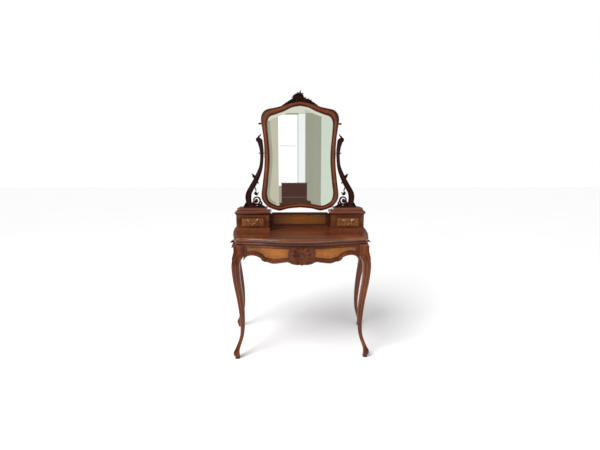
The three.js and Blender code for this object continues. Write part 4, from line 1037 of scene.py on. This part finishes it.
def build_handles():
    """Swan-neck handles: leafy rosettes with turned posts, and a bail that swells into a drop."""
    for word, side in SIDES:
        low, high = node_box(f"{word}_handle_bail")
        x_middle = abs((low[0] + high[0]) / 2)
        reach = (high[0] - low[0]) / 2 - 0.8
        bail_y = (low[1] + high[1]) / 2
        pivot_z = high[2] - 2.1
        drop = 26.0
        centre = lambda pairs: np.array([(x_middle + x, bail_y, pivot_z - d) for x, d in pairs])
        half = [(-reach, 0), (-reach + 4.5, 0), (-reach + 7, 4.6), (-reach + 2.6, 11), (-reach * 0.7, 19.5),
                (-reach * 0.42, 21.6), (-6, 18.6), (0, drop - 0.4)]
        path = bend(centre(half + [(-x, d) for x, d in half[::-1][1:]]), 130)
        t = np.linspace(-1, 1, 130)
        away = np.abs(t)
        swell = 0.75 * bump(away, 0.36, 0.12) + 0.35 * bump(away, 0.12, 0.03) + 0.9 * bump(t, 0, 0.05)
        radius = np.minimum(1.55 + swell, 2.5)
        step = np.gradient(path, axis=0)
        step /= np.linalg.norm(step, axis=1)[:, None]
        out = np.array((0, -1.0, 0))
        flat = np.cross(step, out)
        flat /= np.linalg.norm(flat, axis=1)[:, None]
        a = np.linspace(0, 2 * np.pi, 14, endpoint=False)
        ring = out * np.sin(a)[:, None]
        tube = path[:, None] + radius[:, None, None] * (ring[None] + flat[:, None] * np.cos(a)[None, :, None])
        bail = Surfaces("x")
        bail.grid(tube, 0.35 * bump(np.abs(t), 0.22, 0.05)[:, None])
        bud = [(0.3, -1.5), (1.6, -1.2), (2.6, 1), (3.0, 3.2), (2.2, 5.2), (0.9, 6.4), (0.3, 6.8)]
        turned(bail, [(r, -h) for r, h in bud], (x_middle, bail_y, pivot_z - drop + 0.8), "z", 0.1, 16)
        bail.piece(f"{word}_swan_neck_bail", finish("aged_brass"), f"{word}_bail", "brass",
                   [f"{word}_handle_bail"], side)
        for name, way in (("inner", -1), ("outer", 1)):
            x, back = x_middle + way * 28, node_box(f"{word}_handle_{name}_post")[1][1]
            profile = [(0.4, 0), (7.2, 0), (7.4, 0.6), (6.4, 1.5), (4.6, 2.1), (3.2, 2.8), (2.9, 4.2),
                       (3.6, 5.4), (4.3, 6.8), (4.4, 9), (4.1, 11.4), (3.2, 13.2), (1.8, 14.6), (0.4, 15)]
            post = Surfaces("x")
            turned(post, profile, (x, back, pivot_z), "-y", 0.0, 40, petals=6, petal_depth=0.07)
            tip = [(x - way * 1, pivot_z), (x + way * 4.4, pivot_z + 4.4), (x + way * 7, pivot_z + 8.6),
                   (x + way * 7.6, pivot_z + 12.4)]
            leaf(post, tip, 6.8, 2.2, back - 1.0, lobes=2)
            leaf(post, [(x, pivot_z - 1), (x - way * 1.6, pivot_z - 7), (x - way * 4.4, pivot_z - 12)], 6.0,
                 1.9, back - 0.9, lobes=2)
            post.piece(f"{word}_handle_{name}_leafy_post", finish("aged_brass"), f"{word}_drawer", "brass",
                       [f"{word}_handle_{name}_post"], side)


# ------------------------------------------------------------------ mirror

# Right halves of the frame's two edges from the arch to the middle of the bottom, as shares of half the
# frame's width and of its height. The two lists are paired.
FRAME_OUTSIDE = ((0, .9945), (.26, .974), (.5, .938), (.664, .9247), (.855, .908), (.954, .8726),
                 (.985, .8205), (.954, .733), (.925, .65), (.907, .52), (.919, .393), (.967, .247),
                 (1, .155), (.985, .105), (.9, .058), (.782, .0247), (.603, .003), (.504, 0), (.3, .019),
                 (0, .029))
FRAME_INSIDE = ((0, .941), (.2, .928), (.4, .8945), (.603, .868), (.74, .851), (.81, .818), (.824, .77),
                (.808, .68), (.779, .5575), (.775, .467), (.786, .3945), (.83, .24), (.855, .165),
                (.83, .11), (.775, .0795), (.65, .0545), (.55, .047), (.4, .056), (.2, .07), (0, .0726))
HALF_WIDTH, LOBE_Z, FRAME_HEIGHT = 262.0, 866.0, 730.0


def frame_edge(shares):
    """One edge of the frame as a closed ring from the top of the arch, and each point's knot number."""
    half = spans(np.array(shares) * (HALF_WIDTH, FRAME_HEIGHT) + (0, LOBE_Z), 14)
    half[[0, -1], 0] = 0
    knot = np.arange(len(half)) / 14
    return np.vstack([half, (half * (-1, 1))[::-1][1:-1]]), np.r_[knot, knot[::-1][1:-1]]


def build_mirror_frame():
    """The shaped frame: a section of bead, hollow, broad round, hollow and sight bead between the two edges.

    Leaves are carved over the shoulders, along the arch and at the lower corners, as ripples on the round.
    """
    low, high = node_box("mirror_frame")
    front, back = low[1], high[1]
    outer, knot = frame_edge(FRAME_OUTSIDE)
    inner, _ = frame_edge(FRAME_INSIDE)
    glass = node_box("mirror_glass")[0][1] - 0.3
    # Across the frame: place across, how far back, and the painted shade in its hollows or the painted
    # highlight on its broad round and beads.
    section = ((0.0, 24, 0.1), (0.0, 12, 0.2), (0.01, 9, 0.3), (0.04, 7.2, 0), (0.09, 6.6, -0.2),
               (0.13, 7.4, 0.5), (0.17, 8.0, 1.0), (0.21, 6.4, 0.6), (0.27, 3.6, 0.1), (0.34, 1.5, -0.2),
               (0.42, 0.4, -0.35), (0.5, 0.0, -0.4), (0.58, 0.4, -0.3), (0.66, 1.6, -0.1), (0.73, 3.6, 0.2),
               (0.785, 6.2, 0.8), (0.82, 7.6, 1.0), (0.86, 6.0, 0.4), (0.91, 5.4, 0.1), (0.955, 6.2, 0.4),
               (0.985, 8.0, 0.8), (1.0, 10.0, 1.0))
    share, deep, hollow = np.array(section).T
    width = np.linalg.norm(inner - outer, axis=1)
    rows = outer[:, None] + (inner - outer)[:, None] * share[None, :, None]
    y = np.broadcast_to(front + deep, rows.shape[:2]).copy()
    shade = np.broadcast_to(hollow, rows.shape[:2]).copy()
    length = np.r_[0, np.cumsum(np.linalg.norm(np.diff(outer, axis=0), axis=1))]
    for middle, spread, strength in ((5.0, 1.25, 1.0), (0.0, 2.3, 0.8), (16.6, 0.8, 0.35)):
        near = bump(knot, middle, spread)[:, None] * strength
        veins = 0.5 + 0.5 * np.cos(2 * np.pi * (length[:, None] / 13 + 1.3 * share[None]))
        over = (1 - smoothly(share, 0.34, 0.6))[None] * smoothly(share, 0.0, 0.05)[None]
        y += near * over * (-2.6 * veins + 1.2 - 2.2 * bump(share, 0.17, 0.06)[None])
        # Painted shade in the veins of the carved leaves.
        shade += near * over * (1.5 * (1 - veins) + 0.25)
    rebate = 6.3 / width
    tail = np.stack([np.ones_like(width), 1 - rebate, 1 - rebate, 0.04 * np.ones_like(width)], 1)
    rows = np.concatenate([rows, outer[:, None] + (inner - outer)[:, None] * tail[..., None]], 1)
    y = np.concatenate([y, np.broadcast_to([glass, glass, back, back], (len(y), 4))], 1)
    y = np.clip(y, front - 0.4, back)
    # Painted shade where the glass meets the frame's rebate.
    shade = np.concatenate([np.clip(shade, -1, 1), np.broadcast_to([1, 0.6, 0, 0], (len(y), 4))], 1)
    wide = width[:, None] * np.concatenate([np.broadcast_to(share, (len(y), len(share))), tail], 1)
    wood = np.stack([np.broadcast_to(length[:, None], wide.shape), wide, y], -1)
    frame_piece = Surfaces("z")
    frame_piece.grid(np.stack([rows[..., 0], y, rows[..., 1]], -1), shade, True, wood)
    frame_piece.piece("mirror_shaped_frame", finish("polished_mahogany"), "mirror", "mahogany",
                      ["mirror_frame"])


def build_mirror_glass():
    """Bevelled plate: the sight edge spread under the frame, flat within a line set in, then sloping back."""
    low, high = node_box("mirror_glass")
    ring, _ = frame_edge(FRAME_INSIDE)
    if np.cross(ring[1] - ring[0], ring[2] - ring[1]) < 0 or ring[1, 0] > 0:
        ring = ring[::-1]
    bevel = bpy.context.scene.vanity_sizes.glass_bevel / MM
    steps = ((-6, high[1]), (-6, low[1] + 1.5), (-5.6, low[1] + 1.3), (bevel - 1.5, low[1] + 0.05),
             (bevel, low[1]))
    rows = [np.insert(inset(ring, d), 1, y, axis=1) for d, y in steps]
    plate = Surfaces("z")
    plate.grid(np.array(rows), 0.0)
    plate.piece("mirror_bevelled_plate", finish("silvered_glass"), "mirror", "mirror", ["mirror_glass"],
                sharp=0.3)


def build_crest():
    """The carved crest: leaves fanned over the arch, leaning a little to one side, round a small shell."""
    low, high = node_box("mirror_crest")
    y, top, arch = (low[1] + high[1]) / 2, high[2], 1596.0
    crest = Surfaces("x")
    ring, _ = frame_edge(FRAME_OUTSIDE)
    right = ring[ring[:, 0] >= 0]
    arch_at = lambda x: float(np.interp(abs(x), right[:60, 0], right[:60, 1]))
    sweep = lambda xs, up: [(x, arch_at(x) + u) for x, u in zip(xs, up)]
    for s in (-1, 1):
        leaf(crest, sweep([s * 30, s * 66, s * 98, s * 127], [2, 0, -1, -3]), 20, 11, y - 1, lobes=5,
             sink=0.55)
        leaf(crest, sweep([s * 26, s * 48, s * 68, s * 84], [-1, 6, 8, 5]), 15, 12, y - 2, lobes=3)
        leaf(crest, sweep([s * 6, s * 22, s * 40, s * 56], [-22, -24, -24, -23]), 15, 12, y - 3, lobes=3)
    rim = [(-88, -19), (-70, -7), (-52, 4), (-40, 14), (-24, 26), (-8, 36), (8, 36), (20, 24), (28, 9),
           (42, 4), (62, -2), (86, -18)]
    base = [(-80, -34), (-64, -31), (-49, -33), (-36, -36), (-22, -38), (-8, -39), (8, -39), (20, -38),
            (30, -37), (42, -35), (60, -32), (78, -34)]
    # Across the crest's band: place across, share of depth, and the painted shade or painted highlight there.
    carved = ((0, 0.35, 0.6), (0.06, 0.75, 0.4), (0.2, 0.9, 0.75), (0.45, 1.0, 0.9), (0.7, 1.0, 0.9),
              (0.94, 0.9, 0.7), (1, 0.35, 0.6))
    ribbon(crest, bend([(x, arch + up) for x, up in rim], 90), bend([(x, arch + up) for x, up in base], 90),
           y - 2, 9, carved)
    tips = (
        ((-8, -4), (-24, 10), (-40, 14), (-58, 9), 15), ((-10, 4), (-26, 20), (-38, 24), (-50, 15), 13),
        ((-8, 10), (-18, 26), (-26, 32), (-36, 28), 13), ((-6, 16), (-12, 34), (-16, 40), (-22, 44), 12),
        ((2, -6), (-2, 20), (0, 40), (5, top - arch - 0.4), 15), ((4, 12), (10, 28), (14, 34), (23, 32), 13),
        ((4, 4), (12, 16), (18, 22), (24, 14), 12), ((10, -6), (24, 0), (32, 8), (40, 14), 13),
        ((16, -10), (36, -6), (52, 0), (60, 6), 13), ((22, -14), (44, -12), (64, -8), (78, -4), 13),
        ((-4, 0), (-6, 14), (-4, 26), (-9, 34), 13),
    )
    for *spine, width in tips:
        leaf(crest, [(x, arch + up) for x, up in spine], width * 1.3, 13, y - 4, lobes=3, point=0.6, sink=0.6)
    volute(crest, np.array((-22.0, arch - 8)), 13, 1.1, -20, 1, y - 3, 11, 6.5, eye=5)
    volute(crest, np.array((25.0, arch - 12)), 12, 1.1, 200, -1, y - 3, 11, 6, eye=5)
    # The shell has painted shade in its grooves and a painted highlight on its rim.
    shell = [(0.5, -9), (12, -9), (13.5, 2), (12, 7), (8, 9.5), (3, 10.6), (0.5, 10.8)]
    turned(crest, shell, (0, y, arch - 3), "-y", np.array([0, 0, 0.3, 0.2, 0.1, 0.0, 0.6])[:, None], 72,
           petals=12, petal_depth=0.07)
    crest.piece("mirror_carved_crest", finish("carved_mahogany"), "mirror", "dark_mahogany", ["mirror_crest"])


# ------------------------------------------------------------------ standards, swivels and buds

STEM_OUTSIDE = ((272, 1352), (281, 1350), (288, 1341), (285, 1326), (279.5, 1310), (272, 1284), (267, 1245),
                (268.5, 1200), (274, 1166), (284, 1140), (297, 1113), (311, 1085), (326, 1060), (342, 1033),
                (358, 1006), (368, 982), (372, 958), (369, 932), (363, 912), (358, 899))
STEM_INSIDE = ((266, 1350), (258, 1346), (251, 1338), (248, 1324), (246.5, 1308), (244.5, 1284),
               (243.5, 1245), (246.5, 1200), (250, 1166), (257, 1132), (268, 1100), (278, 1076),
               (290, 1050), (303, 1027), (317, 1004), (327, 984), (331, 960), (331, 936), (329, 915),
               (327, 899))


def build_standards():
    """The scrolled standards: a long S-shaped band with leaves, a volute and a leafy foot."""
    for word, side in SIDES:
        low, high = node_box(f"{word}_standard")
        y, half = (low[1] + high[1]) / 2, (high[1] - low[1]) / 2 - 2
        foot = low[2]
        up = foot - 889.2
        lift = lambda pairs: [(x, z + up) for x, z in pairs]
        outer, inner = bend(lift(STEM_OUTSIDE), 170), bend(lift(STEM_INSIDE), 170)
        standard = Surfaces("z")
        taper = np.interp(np.linspace(0, 1, 170), (0, 0.05, 0.12, 0.3, 0.6, 1),
                          (0.35, 0.62, 0.8, 0.84, 0.92, 1))
        ribbon(standard, outer, inner, y, half, BAND, taper=taper)
        centre = np.array((297.0, 936.0 + up))
        volute(standard, centre, 34, 1.3, -40, -1, y, half - 1, 13, eye=11)
        leaves = (
            ([(262, 1328), (277, 1340), (273, 1358), (264, 1366), (259, 1380)], 14, 2),
            ([(284, 1324), (288, 1334), (286, 1347), (276, 1354)], 12, 2),
            ([(256, 1300), (262, 1322), (268, 1336), (278, 1342)], 13, 2),
            ([(290, 1092), (308, 1099), (318, 1108), (329, 1118)], 15, 2),
            ([(302, 1080), (312, 1090), (318, 1104), (316, 1116)], 11, 2),
            ([(300, 1062), (290, 1060), (284, 1054), (280, 1046)], 13, 2),
            ([(308, 1030), (302, 1014), (299, 1000), (301, 986)], 9, 2),
            ([(306, 996), (300, 986), (290, 984), (278, 990)], 13, 2),
            ([(312, 990), (304, 978), (292, 974), (281, 976)], 12, 2),
            ([(352, 912), (362, 908), (374, 901), (387, 896)], 17, 3),
            ([(346, 924), (360, 922), (371, 914), (380, 906)], 12, 2),
            ([(290, 904), (272, 906), (256, 900), (240, 894)], 16, 3),
            ([(318, 930), (326, 910), (340, 902), (352, 896)], 16, 3),
            ([(334, 916), (320, 904), (304, 899), (288, 898)], 16, 3),
            ([(266, 930), (262, 918), (266, 906), (278, 898)], 13, 2),
        )
        along = bend(lift([(outside[0] * 0.5 + inside[0] * 0.5, outside[1] * 0.5 + inside[1] * 0.5)
                           for outside, inside in zip(STEM_OUTSIDE[10:], STEM_INSIDE[10:])]), 46)
        across = np.gradient(along, axis=0)
        across = np.stack([-across[:, 1], across[:, 0]], 1) / np.linalg.norm(across, axis=1)[:, None]
        chain = np.linspace(0, 34, 9).astype(int)
        for turn, at in enumerate(chain):
            sway = (turn % 2 * 2 - 1) * (5 + 7 * at / 34)
            spine = [along[at], along[at + 4] + across[at + 4] * sway * 0.6,
                     along[at + 8] + across[at + 8] * sway,
                     along[at + 11] + across[at + 11] * sway * 1.25]
            leaf(standard, spine, 14 + at * 0.2, half * 1.15, y - 2.5, 2, sink=0.85)
        for spine, width, lobes in leaves:
            leaf(standard, lift(spine), width, half - 1, y - 0.5, lobes, sink=0.45)
        block = [(low_x, high_x, y - half - 2 + d, y + half + 2 - d, 2.5, foot + h)
                 for low_x, high_x, d, h in ((237.5, 384, 0, 0), (237.5, 384, 0, 4.6), (239, 382.5, 1, 6),
                                             (242, 380, 2.6, 7), (246, 377, 3, 9.4), (252, 372, 4.4, 11))]
        # Painted shade and painted highlight on the steps of the foot block.
        levels(standard, block, shade=(0.3, -0.2, 0, 0.7, 0.3, 0.5))
        standard.piece(f"{word}_scrolled_standard", finish("carved_mahogany"), "table", "dark_mahogany",
                       [f"{word}_standard"], side)


def build_swivels():
    """Swivel screws with turned knobs, and the turned buds on the shoulders of the frame."""
    for word, side in SIDES:
        low, high = node_box(f"{word}_swivel_screw")
        start = low[0] if side > 0 else -high[0]
        length = high[0] - low[0]
        y, z = (low[1] + high[1]) / 2, (low[2] + high[2]) / 2
        tail = length - 17.5
        profile = [(0.3, 0), (3.3, 0.4), (3.5, 1), (3.5, tail), (6.0, tail), (6.2, tail + 0.8),
                   (5.8, tail + 2.2), (3.4, tail + 3), (2.4, tail + 4), (2.3, tail + 6.6), (3, tail + 7.6),
                   (4.4, tail + 9), (5.3, tail + 11), (5.4, tail + 12.4), (4.8, tail + 14.4),
                   (3, tail + 16.2), (1.2, tail + 17.2), (0.3, tail + 17.4)]
        screw = Surfaces("x")
        shade = np.array([0, 0, 0, 0.3, 0.5, 0, 0.2, 0.8, 0.6, 0.6, 0.5, 0, -0.3, -0.3, 0, 0.1, 0.3,
                          0.3])[:, None]
        turned(screw, profile, (start, y, z), "x", shade, 28)
        screw.piece(f"{word}_swivel_turned_screw", finish("aged_brass"), f"{word}_swivel", "brass",
                    [f"{word}_swivel_screw"], side)

        low, high = node_box(f"{word}_frame_bud")
        start = low[0] if side > 0 else -high[0]
        y, z = (low[1] + high[1]) / 2, (low[2] + high[2]) / 2
        profile = [(0.3, -3), (4.6, -3), (4.6, 0.4), (5.2, 1.4), (3.6, 3), (5.0, 4.4), (7.4, 7), (7.6, 9.4),
                   (6.4, 12), (4.6, 14), (3.6, 16.4), (2.6, 19.4), (1.2, 21.6), (0.3, 22.2)]
        bud = Surfaces("x")
        # Painted shade in the bud's grooves and a painted highlight on its swell.
        shade = np.array([0, 0, 0.3, 0, 0.8, 0.3, -0.3, -0.2, 0.1, 0.4, 0.1, 0, 0, 0])[:, None]
        turned(bud, profile, (start, y, z), "x", shade, 30, petals=5, petal_depth=0.04)
        bud.piece(f"{word}_turned_bud", finish("carved_mahogany"), "mirror", "dark_mahogany",
                  [f"{word}_frame_bud"], side)


def refinish(node, material):
    """Puts a finish in the slots of a frame node that is shown as it is."""
    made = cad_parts[node]
    made.data.materials.clear()
    made.data.materials.append(finish(material))


def build_hidden_woodwork():
    """Finishes for the plain inner pieces that the frame's own nodes show."""
    refinish("back_rail", "frame_mahogany")
    refinish("mirror_backboard", "lining_wood")
    for word, _ in SIDES:
        for part in ("inner_side", "outer_side", "back", "bottom"):
            refinish(f"{word}_drawer_{part}", "lining_wood")
        refinish(f"{word}_swivel_plate", "aged_brass")
        for end in ("front", "back"):
            refinish(f"{end}_{word}_glue_block", "lining_wood")


# ------------------------------------------------------------------ stage


def stage_sheet(name, corners, material, seen=True):
    mesh = bpy.data.meshes.new(name)
    mesh.from_pydata([Vector(c) for c in corners], [], [tuple(range(len(corners)))])
    made = bpy.data.objects.new(name, mesh)
    mesh.materials.append(material)
    bpy.context.scene.collection.objects.link(made)
    if not seen:
        made.visible_camera = made.visible_diffuse = made.visible_shadow = made.visible_transmission = False
    return made


def softbox(name, place, aim, size, power, colour=(1, 1, 1)):
    light = bpy.data.lights.new(name, "AREA")
    light.shape = "RECTANGLE"
    light.size, light.size_y = size
    light.energy = power
    light.color = colour
    made = bpy.data.objects.new(name, light)
    made.location = place
    made.rotation_euler = (Vector(aim) - Vector(place)).to_track_quat("-Z", "Y").to_euler()
    bpy.context.scene.collection.objects.link(made)
    return made


CAMERA_PLACE = (-0.055, -1.974, 1.06)
CAMERA_DOWN, CAMERA_RIGHT = 7.85, 1.455  # degrees below level, and to the right of straight at the table
CAMERA_LENS, CAMERA_SENSOR = 18.72, 36
SKY_DIRECTION = (0.5, 0.42, -0.8)
SKY_SOFTNESS = 34  # degrees across
ROOM_Y = -3.0
ROOM_ASIDE = -0.04


def build_stage():
    """A wide pale floor under white air, soft light from the left and above, and the camera.

    The room that the mirror sees is behind the camera: a pale wall with a bright window over a dark chest.
    It shows only in reflections.
    """
    look = bpy.context.scene.vanity_stage
    reach = look.floor_reach
    stage_sheet("studio_floor", [(-reach, -reach, 0), (reach, -reach, 0), (reach, reach, 0),
                                 (-reach, reach, 0)],
                matt("pale_floor", tuple(look.floor)))

    # Each sheet: its name, its left, right, lower and upper edge, how far it stands before the wall, its colour
    # and how brightly it glows.
    room = (
        ("room_wall", -3.2, 3.4, 0.0, 3.4, 0.0, (0.37, 0.37, 0.30), 1.0),
        ("room_ceiling", -3.2, 3.4, 2.17, 3.4, 0.01, (0.72, 0.72, 0.6), 1.0),
        ("room_left_reveal", -0.42, -0.235, 0.0, 2.16, 0.01, (0.58, 0.54, 0.42), 1.0),
        ("room_window", -0.235, 0.074, 1.0, 2.14, 0.02, (1.0, 1.0, 1.0), 1.25),
        ("room_sash_bar", -0.22, 0.06, 1.638, 1.654, 0.03, (0.62, 0.68, 0.64), 1.0),
        ("room_window_stile", 0.07, 0.095, 1.0, 2.14, 0.03, (0.7, 0.74, 0.7), 1.0),
        ("room_shutter", 0.095, 0.205, 0.7, 2.16, 0.02, (0.93, 0.95, 0.94), 1.0),
        ("room_corner", 0.205, 0.34, 0.0, 2.3, 0.01, (0.36, 0.36, 0.29), 1.0),
        ("room_right_wall", 0.47, 1.6, 0.0, 2.3, 0.01, (0.66, 0.73, 0.62), 1.0),
        ("room_chest", -0.19, 0.236, 0.3, 1.05, 0.04, (0.075, 0.035, 0.028), 1.0),
        ("room_chest_rail", -0.19, 0.236, 0.80, 0.815, 0.05, (0.15, 0.08, 0.06), 1.0),
        ("room_chest_top", -0.2, 0.246, 1.035, 1.05, 0.05, (0.2, 0.11, 0.08), 1.0),
    )
    for name, x0, x1, z0, z1, forward, colour, glow in room:
        a, b, y = x0 + ROOM_ASIDE, x1 + ROOM_ASIDE, ROOM_Y + forward
        stage_sheet(name, [(a, y, z0), (b, y, z0), (b, y, z1), (a, y, z1)],
                    matt(name, tuple(c * 0.02 for c in colour), glow, colour), seen=False)

    softbox("window_light", (-2.4, -2.2, 2.6), (0, 0, 0.7), (1.5, 2.0), look.key)
    softbox("fill_light", (2.8, -2.0, 1.6), (0, 0, 0.8), (1.0, 2.0), look.key * 0.25)
    sun = bpy.data.lights.new("sky_light", "SUN")
    sun.energy = look.sky
    sun.angle = np.radians(SKY_SOFTNESS)
    sky = bpy.data.objects.new("sky_light", sun)
    sky.rotation_euler = Vector(SKY_DIRECTION).to_track_quat("-Z", "Y").to_euler()
    sky.visible_glossy = False
    bpy.context.scene.collection.objects.link(sky)

    world = bpy.data.worlds.new("studio_air")
    world.use_nodes = True
    air = world.node_tree
    ground = air.nodes["Background"]
    path = wire(air, "ShaderNodeLightPath")
    glossy = sums(air, "MULTIPLY", path.outputs["Is Glossy Ray"], look.gleam - look.air)
    soft = sums(air, "ADD", glossy, look.air)
    seen = wire(air, "ShaderNodeMix", {0: path.outputs["Is Camera Ray"], 2: soft, 3: 1.0})
    ground.inputs[0].default_value = (1, 1, 1, 1)
    air.links.new(seen.outputs[0], ground.inputs[1])
    bpy.context.scene.world = world
    bpy.context.scene.view_settings.view_transform = "Standard"

    lens = bpy.data.cameras.new("camera")
    lens.lens = CAMERA_LENS
    lens.sensor_width = CAMERA_SENSOR
    lens.clip_start = 0.05
    camera = bpy.data.objects.new("camera", lens)
    camera.location = CAMERA_PLACE
    camera.rotation_euler = (np.radians(90 - CAMERA_DOWN), 0, np.radians(-CAMERA_RIGHT))
    bpy.context.scene.collection.objects.link(camera)
    bpy.context.scene.camera = camera


# ------------------------------------------------------------------ add-on


def swatch(name, description, default):
    """A colour that a user can change."""
    return bpy.props.FloatVectorProperty(name=name, description=description, default=default, size=3,
                                         min=0, max=1, subtype="COLOR")


class VanityFinish(bpy.types.PropertyGroup):
    """Colours of the woods, the brass and the mirror."""

    mahogany: swatch("Mahogany", "Polished wood of the legs, mouldings and frame", (0.135, 0.034, 0.011))
    panels: swatch("Panels", "Golden figured wood of the aprons and drawer fronts", (0.27, 0.088, 0.012))
    carving: swatch("Carving", "Dark wood of the crest and standards", (0.03, 0.0085, 0.006))
    linings: swatch("Linings", "Plain wood inside the drawers and behind the mirror", (0.42, 0.27, 0.14))
    brass: swatch("Brass", "Handles and swivel screws", (0.72, 0.6, 0.38))
    glass: swatch("Mirror", "Silvering of the mirror", (0.93, 0.95, 0.93))


def length(name, description, default, highest):
    """A size in metres that a user can change."""
    return bpy.props.FloatProperty(name=name, description=description, default=default, min=0, max=highest,
                                   precision=4, unit="LENGTH")


class VanitySizes(bpy.types.PropertyGroup):
    """Sizes of the carving and of the glass."""

    apron_bead: length("Apron bead", "How far the aprons' lower bead stands out", 0.0044, 0.008)
    leg_groove: length("Leg groove", "Depth of the two grooves down each face of a leg", 0.0024, 0.004)
    glass_bevel: length("Glass bevel", "Width of the bevel round the mirror plate", 0.0185, 0.04)


class VanityStage(bpy.types.PropertyGroup):
    """Floor and light of the studio."""

    floor: swatch("Floor", "Pale floor", (0.93, 0.93, 0.93))
    floor_reach: bpy.props.FloatProperty(name="Floor reach", description="How far the floor runs each way",
                                         default=60, min=5, max=500, unit="LENGTH")
    key: bpy.props.FloatProperty(name="Window light", description="Power of the main softbox", default=48,
                                 min=0, max=2000, subtype="POWER", unit="POWER")
    sky: bpy.props.FloatProperty(name="Sky light", description="Strength of the soft overhead light",
                                 default=2.0, min=0, max=20)
    air: bpy.props.FloatProperty(name="Air", description="Even light from all round",
                                 default=0.6, min=0, max=5)
    gleam: bpy.props.FloatProperty(name="Gleam", description="How bright the air looks in polish",
                                   default=0.13, min=0, max=5)


class VanityOperator:
    """What every step shares: it runs its makers in order, and an error in one stops the step."""

    bl_options = {"REGISTER", "UNDO"}
    makers = ()

    def execute(self, context):
        for maker in self.makers:
            maker()
        return {"FINISHED"}


class VANITY_OT_top(VanityOperator, bpy.types.Operator):
    """Makes the table top and the moulding under it"""

    bl_idname = "vanity.top"
    bl_label = "Table top"
    makers = (build_table_top, build_top_mouldings)


class VANITY_OT_legs(VanityOperator, bpy.types.Operator):
    """Makes the four cabriole legs"""

    bl_idname = "vanity.legs"
    bl_label = "Legs"
    makers = (build_legs,)


class VANITY_OT_aprons(VanityOperator, bpy.types.Operator):
    """Makes the shaped aprons and their carved cartouches"""

    bl_idname = "vanity.aprons"
    bl_label = "Aprons"
    makers = (build_aprons, build_cartouches)


class VANITY_OT_boxes(VanityOperator, bpy.types.Operator):
    """Makes the trinket boxes and the panel between them"""

    bl_idname = "vanity.boxes"
    bl_label = "Boxes"
    makers = (build_back_panel, build_boxes)


class VANITY_OT_drawers(VanityOperator, bpy.types.Operator):
    """Makes the drawer fronts and their brass handles"""

    bl_idname = "vanity.drawers"
    bl_label = "Drawers"
    makers = (build_drawer_fronts, build_handles)


class VANITY_OT_mirror(VanityOperator, bpy.types.Operator):
    """Makes the mirror's frame, bevelled glass and crest"""

    bl_idname = "vanity.mirror"
    bl_label = "Mirror"
    makers = (build_mirror_frame, build_mirror_glass, build_crest)


class VANITY_OT_standards(VanityOperator, bpy.types.Operator):
    """Makes the scrolled standards, the swivel screws and the buds"""

    bl_idname = "vanity.standards"
    bl_label = "Standards"
    makers = (build_standards, build_swivels)


class VANITY_OT_woodwork(VanityOperator, bpy.types.Operator):
    """Finishes the plain inner woodwork"""

    bl_idname = "vanity.woodwork"
    bl_label = "Inner woodwork"
    makers = (build_hidden_woodwork,)


class VANITY_OT_stage(VanityOperator, bpy.types.Operator):
    """Sets out the floor, the light and the camera"""

    bl_idname = "vanity.stage"
    bl_label = "Stage"
    makers = (build_stage,)


STEPS = (VANITY_OT_top, VANITY_OT_legs, VANITY_OT_aprons, VANITY_OT_boxes, VANITY_OT_drawers,
         VANITY_OT_mirror, VANITY_OT_standards, VANITY_OT_woodwork, VANITY_OT_stage)


class VANITY_PT_panel(bpy.types.Panel):
    """Lists the colours, the light and the steps"""

    bl_idname = "VANITY_PT_panel"
    bl_label = "Vanity table"
    bl_space_type = "VIEW_3D"
    bl_region_type = "UI"
    bl_category = "Vanity"

    def draw(self, context):
        for group in (context.scene.vanity_sizes, context.scene.vanity_finish, context.scene.vanity_stage):
            for name in group.__annotations__:
                self.layout.prop(group, name)
        for step in STEPS:
            self.layout.operator(step.bl_idname)


CLASSES = (VanitySizes, VanityFinish, VanityStage, *STEPS, VANITY_PT_panel)


def register():
    """Registers every class and gives the scene its three groups of settings."""
    for made in CLASSES:
        bpy.utils.register_class(made)
    bpy.types.Scene.vanity_sizes = bpy.props.PointerProperty(type=VanitySizes)
    bpy.types.Scene.vanity_finish = bpy.props.PointerProperty(type=VanityFinish)
    bpy.types.Scene.vanity_stage = bpy.props.PointerProperty(type=VanityStage)


def unregister():
    """Takes away what register added, in the opposite order."""
    del bpy.types.Scene.vanity_stage
    del bpy.types.Scene.vanity_finish
    del bpy.types.Scene.vanity_sizes
    for made in reversed(CLASSES):
        bpy.utils.unregister_class(made)


def main():
    """Runs every step in order."""
    register()
    bpy.ops.vanity.top()
    bpy.ops.vanity.legs()
    bpy.ops.vanity.aprons()
    bpy.ops.vanity.boxes()
    bpy.ops.vanity.drawers()
    bpy.ops.vanity.mirror()
    bpy.ops.vanity.standards()
    bpy.ops.vanity.woodwork()
    bpy.ops.vanity.stage()


if __name__ == "__main__":
    main()
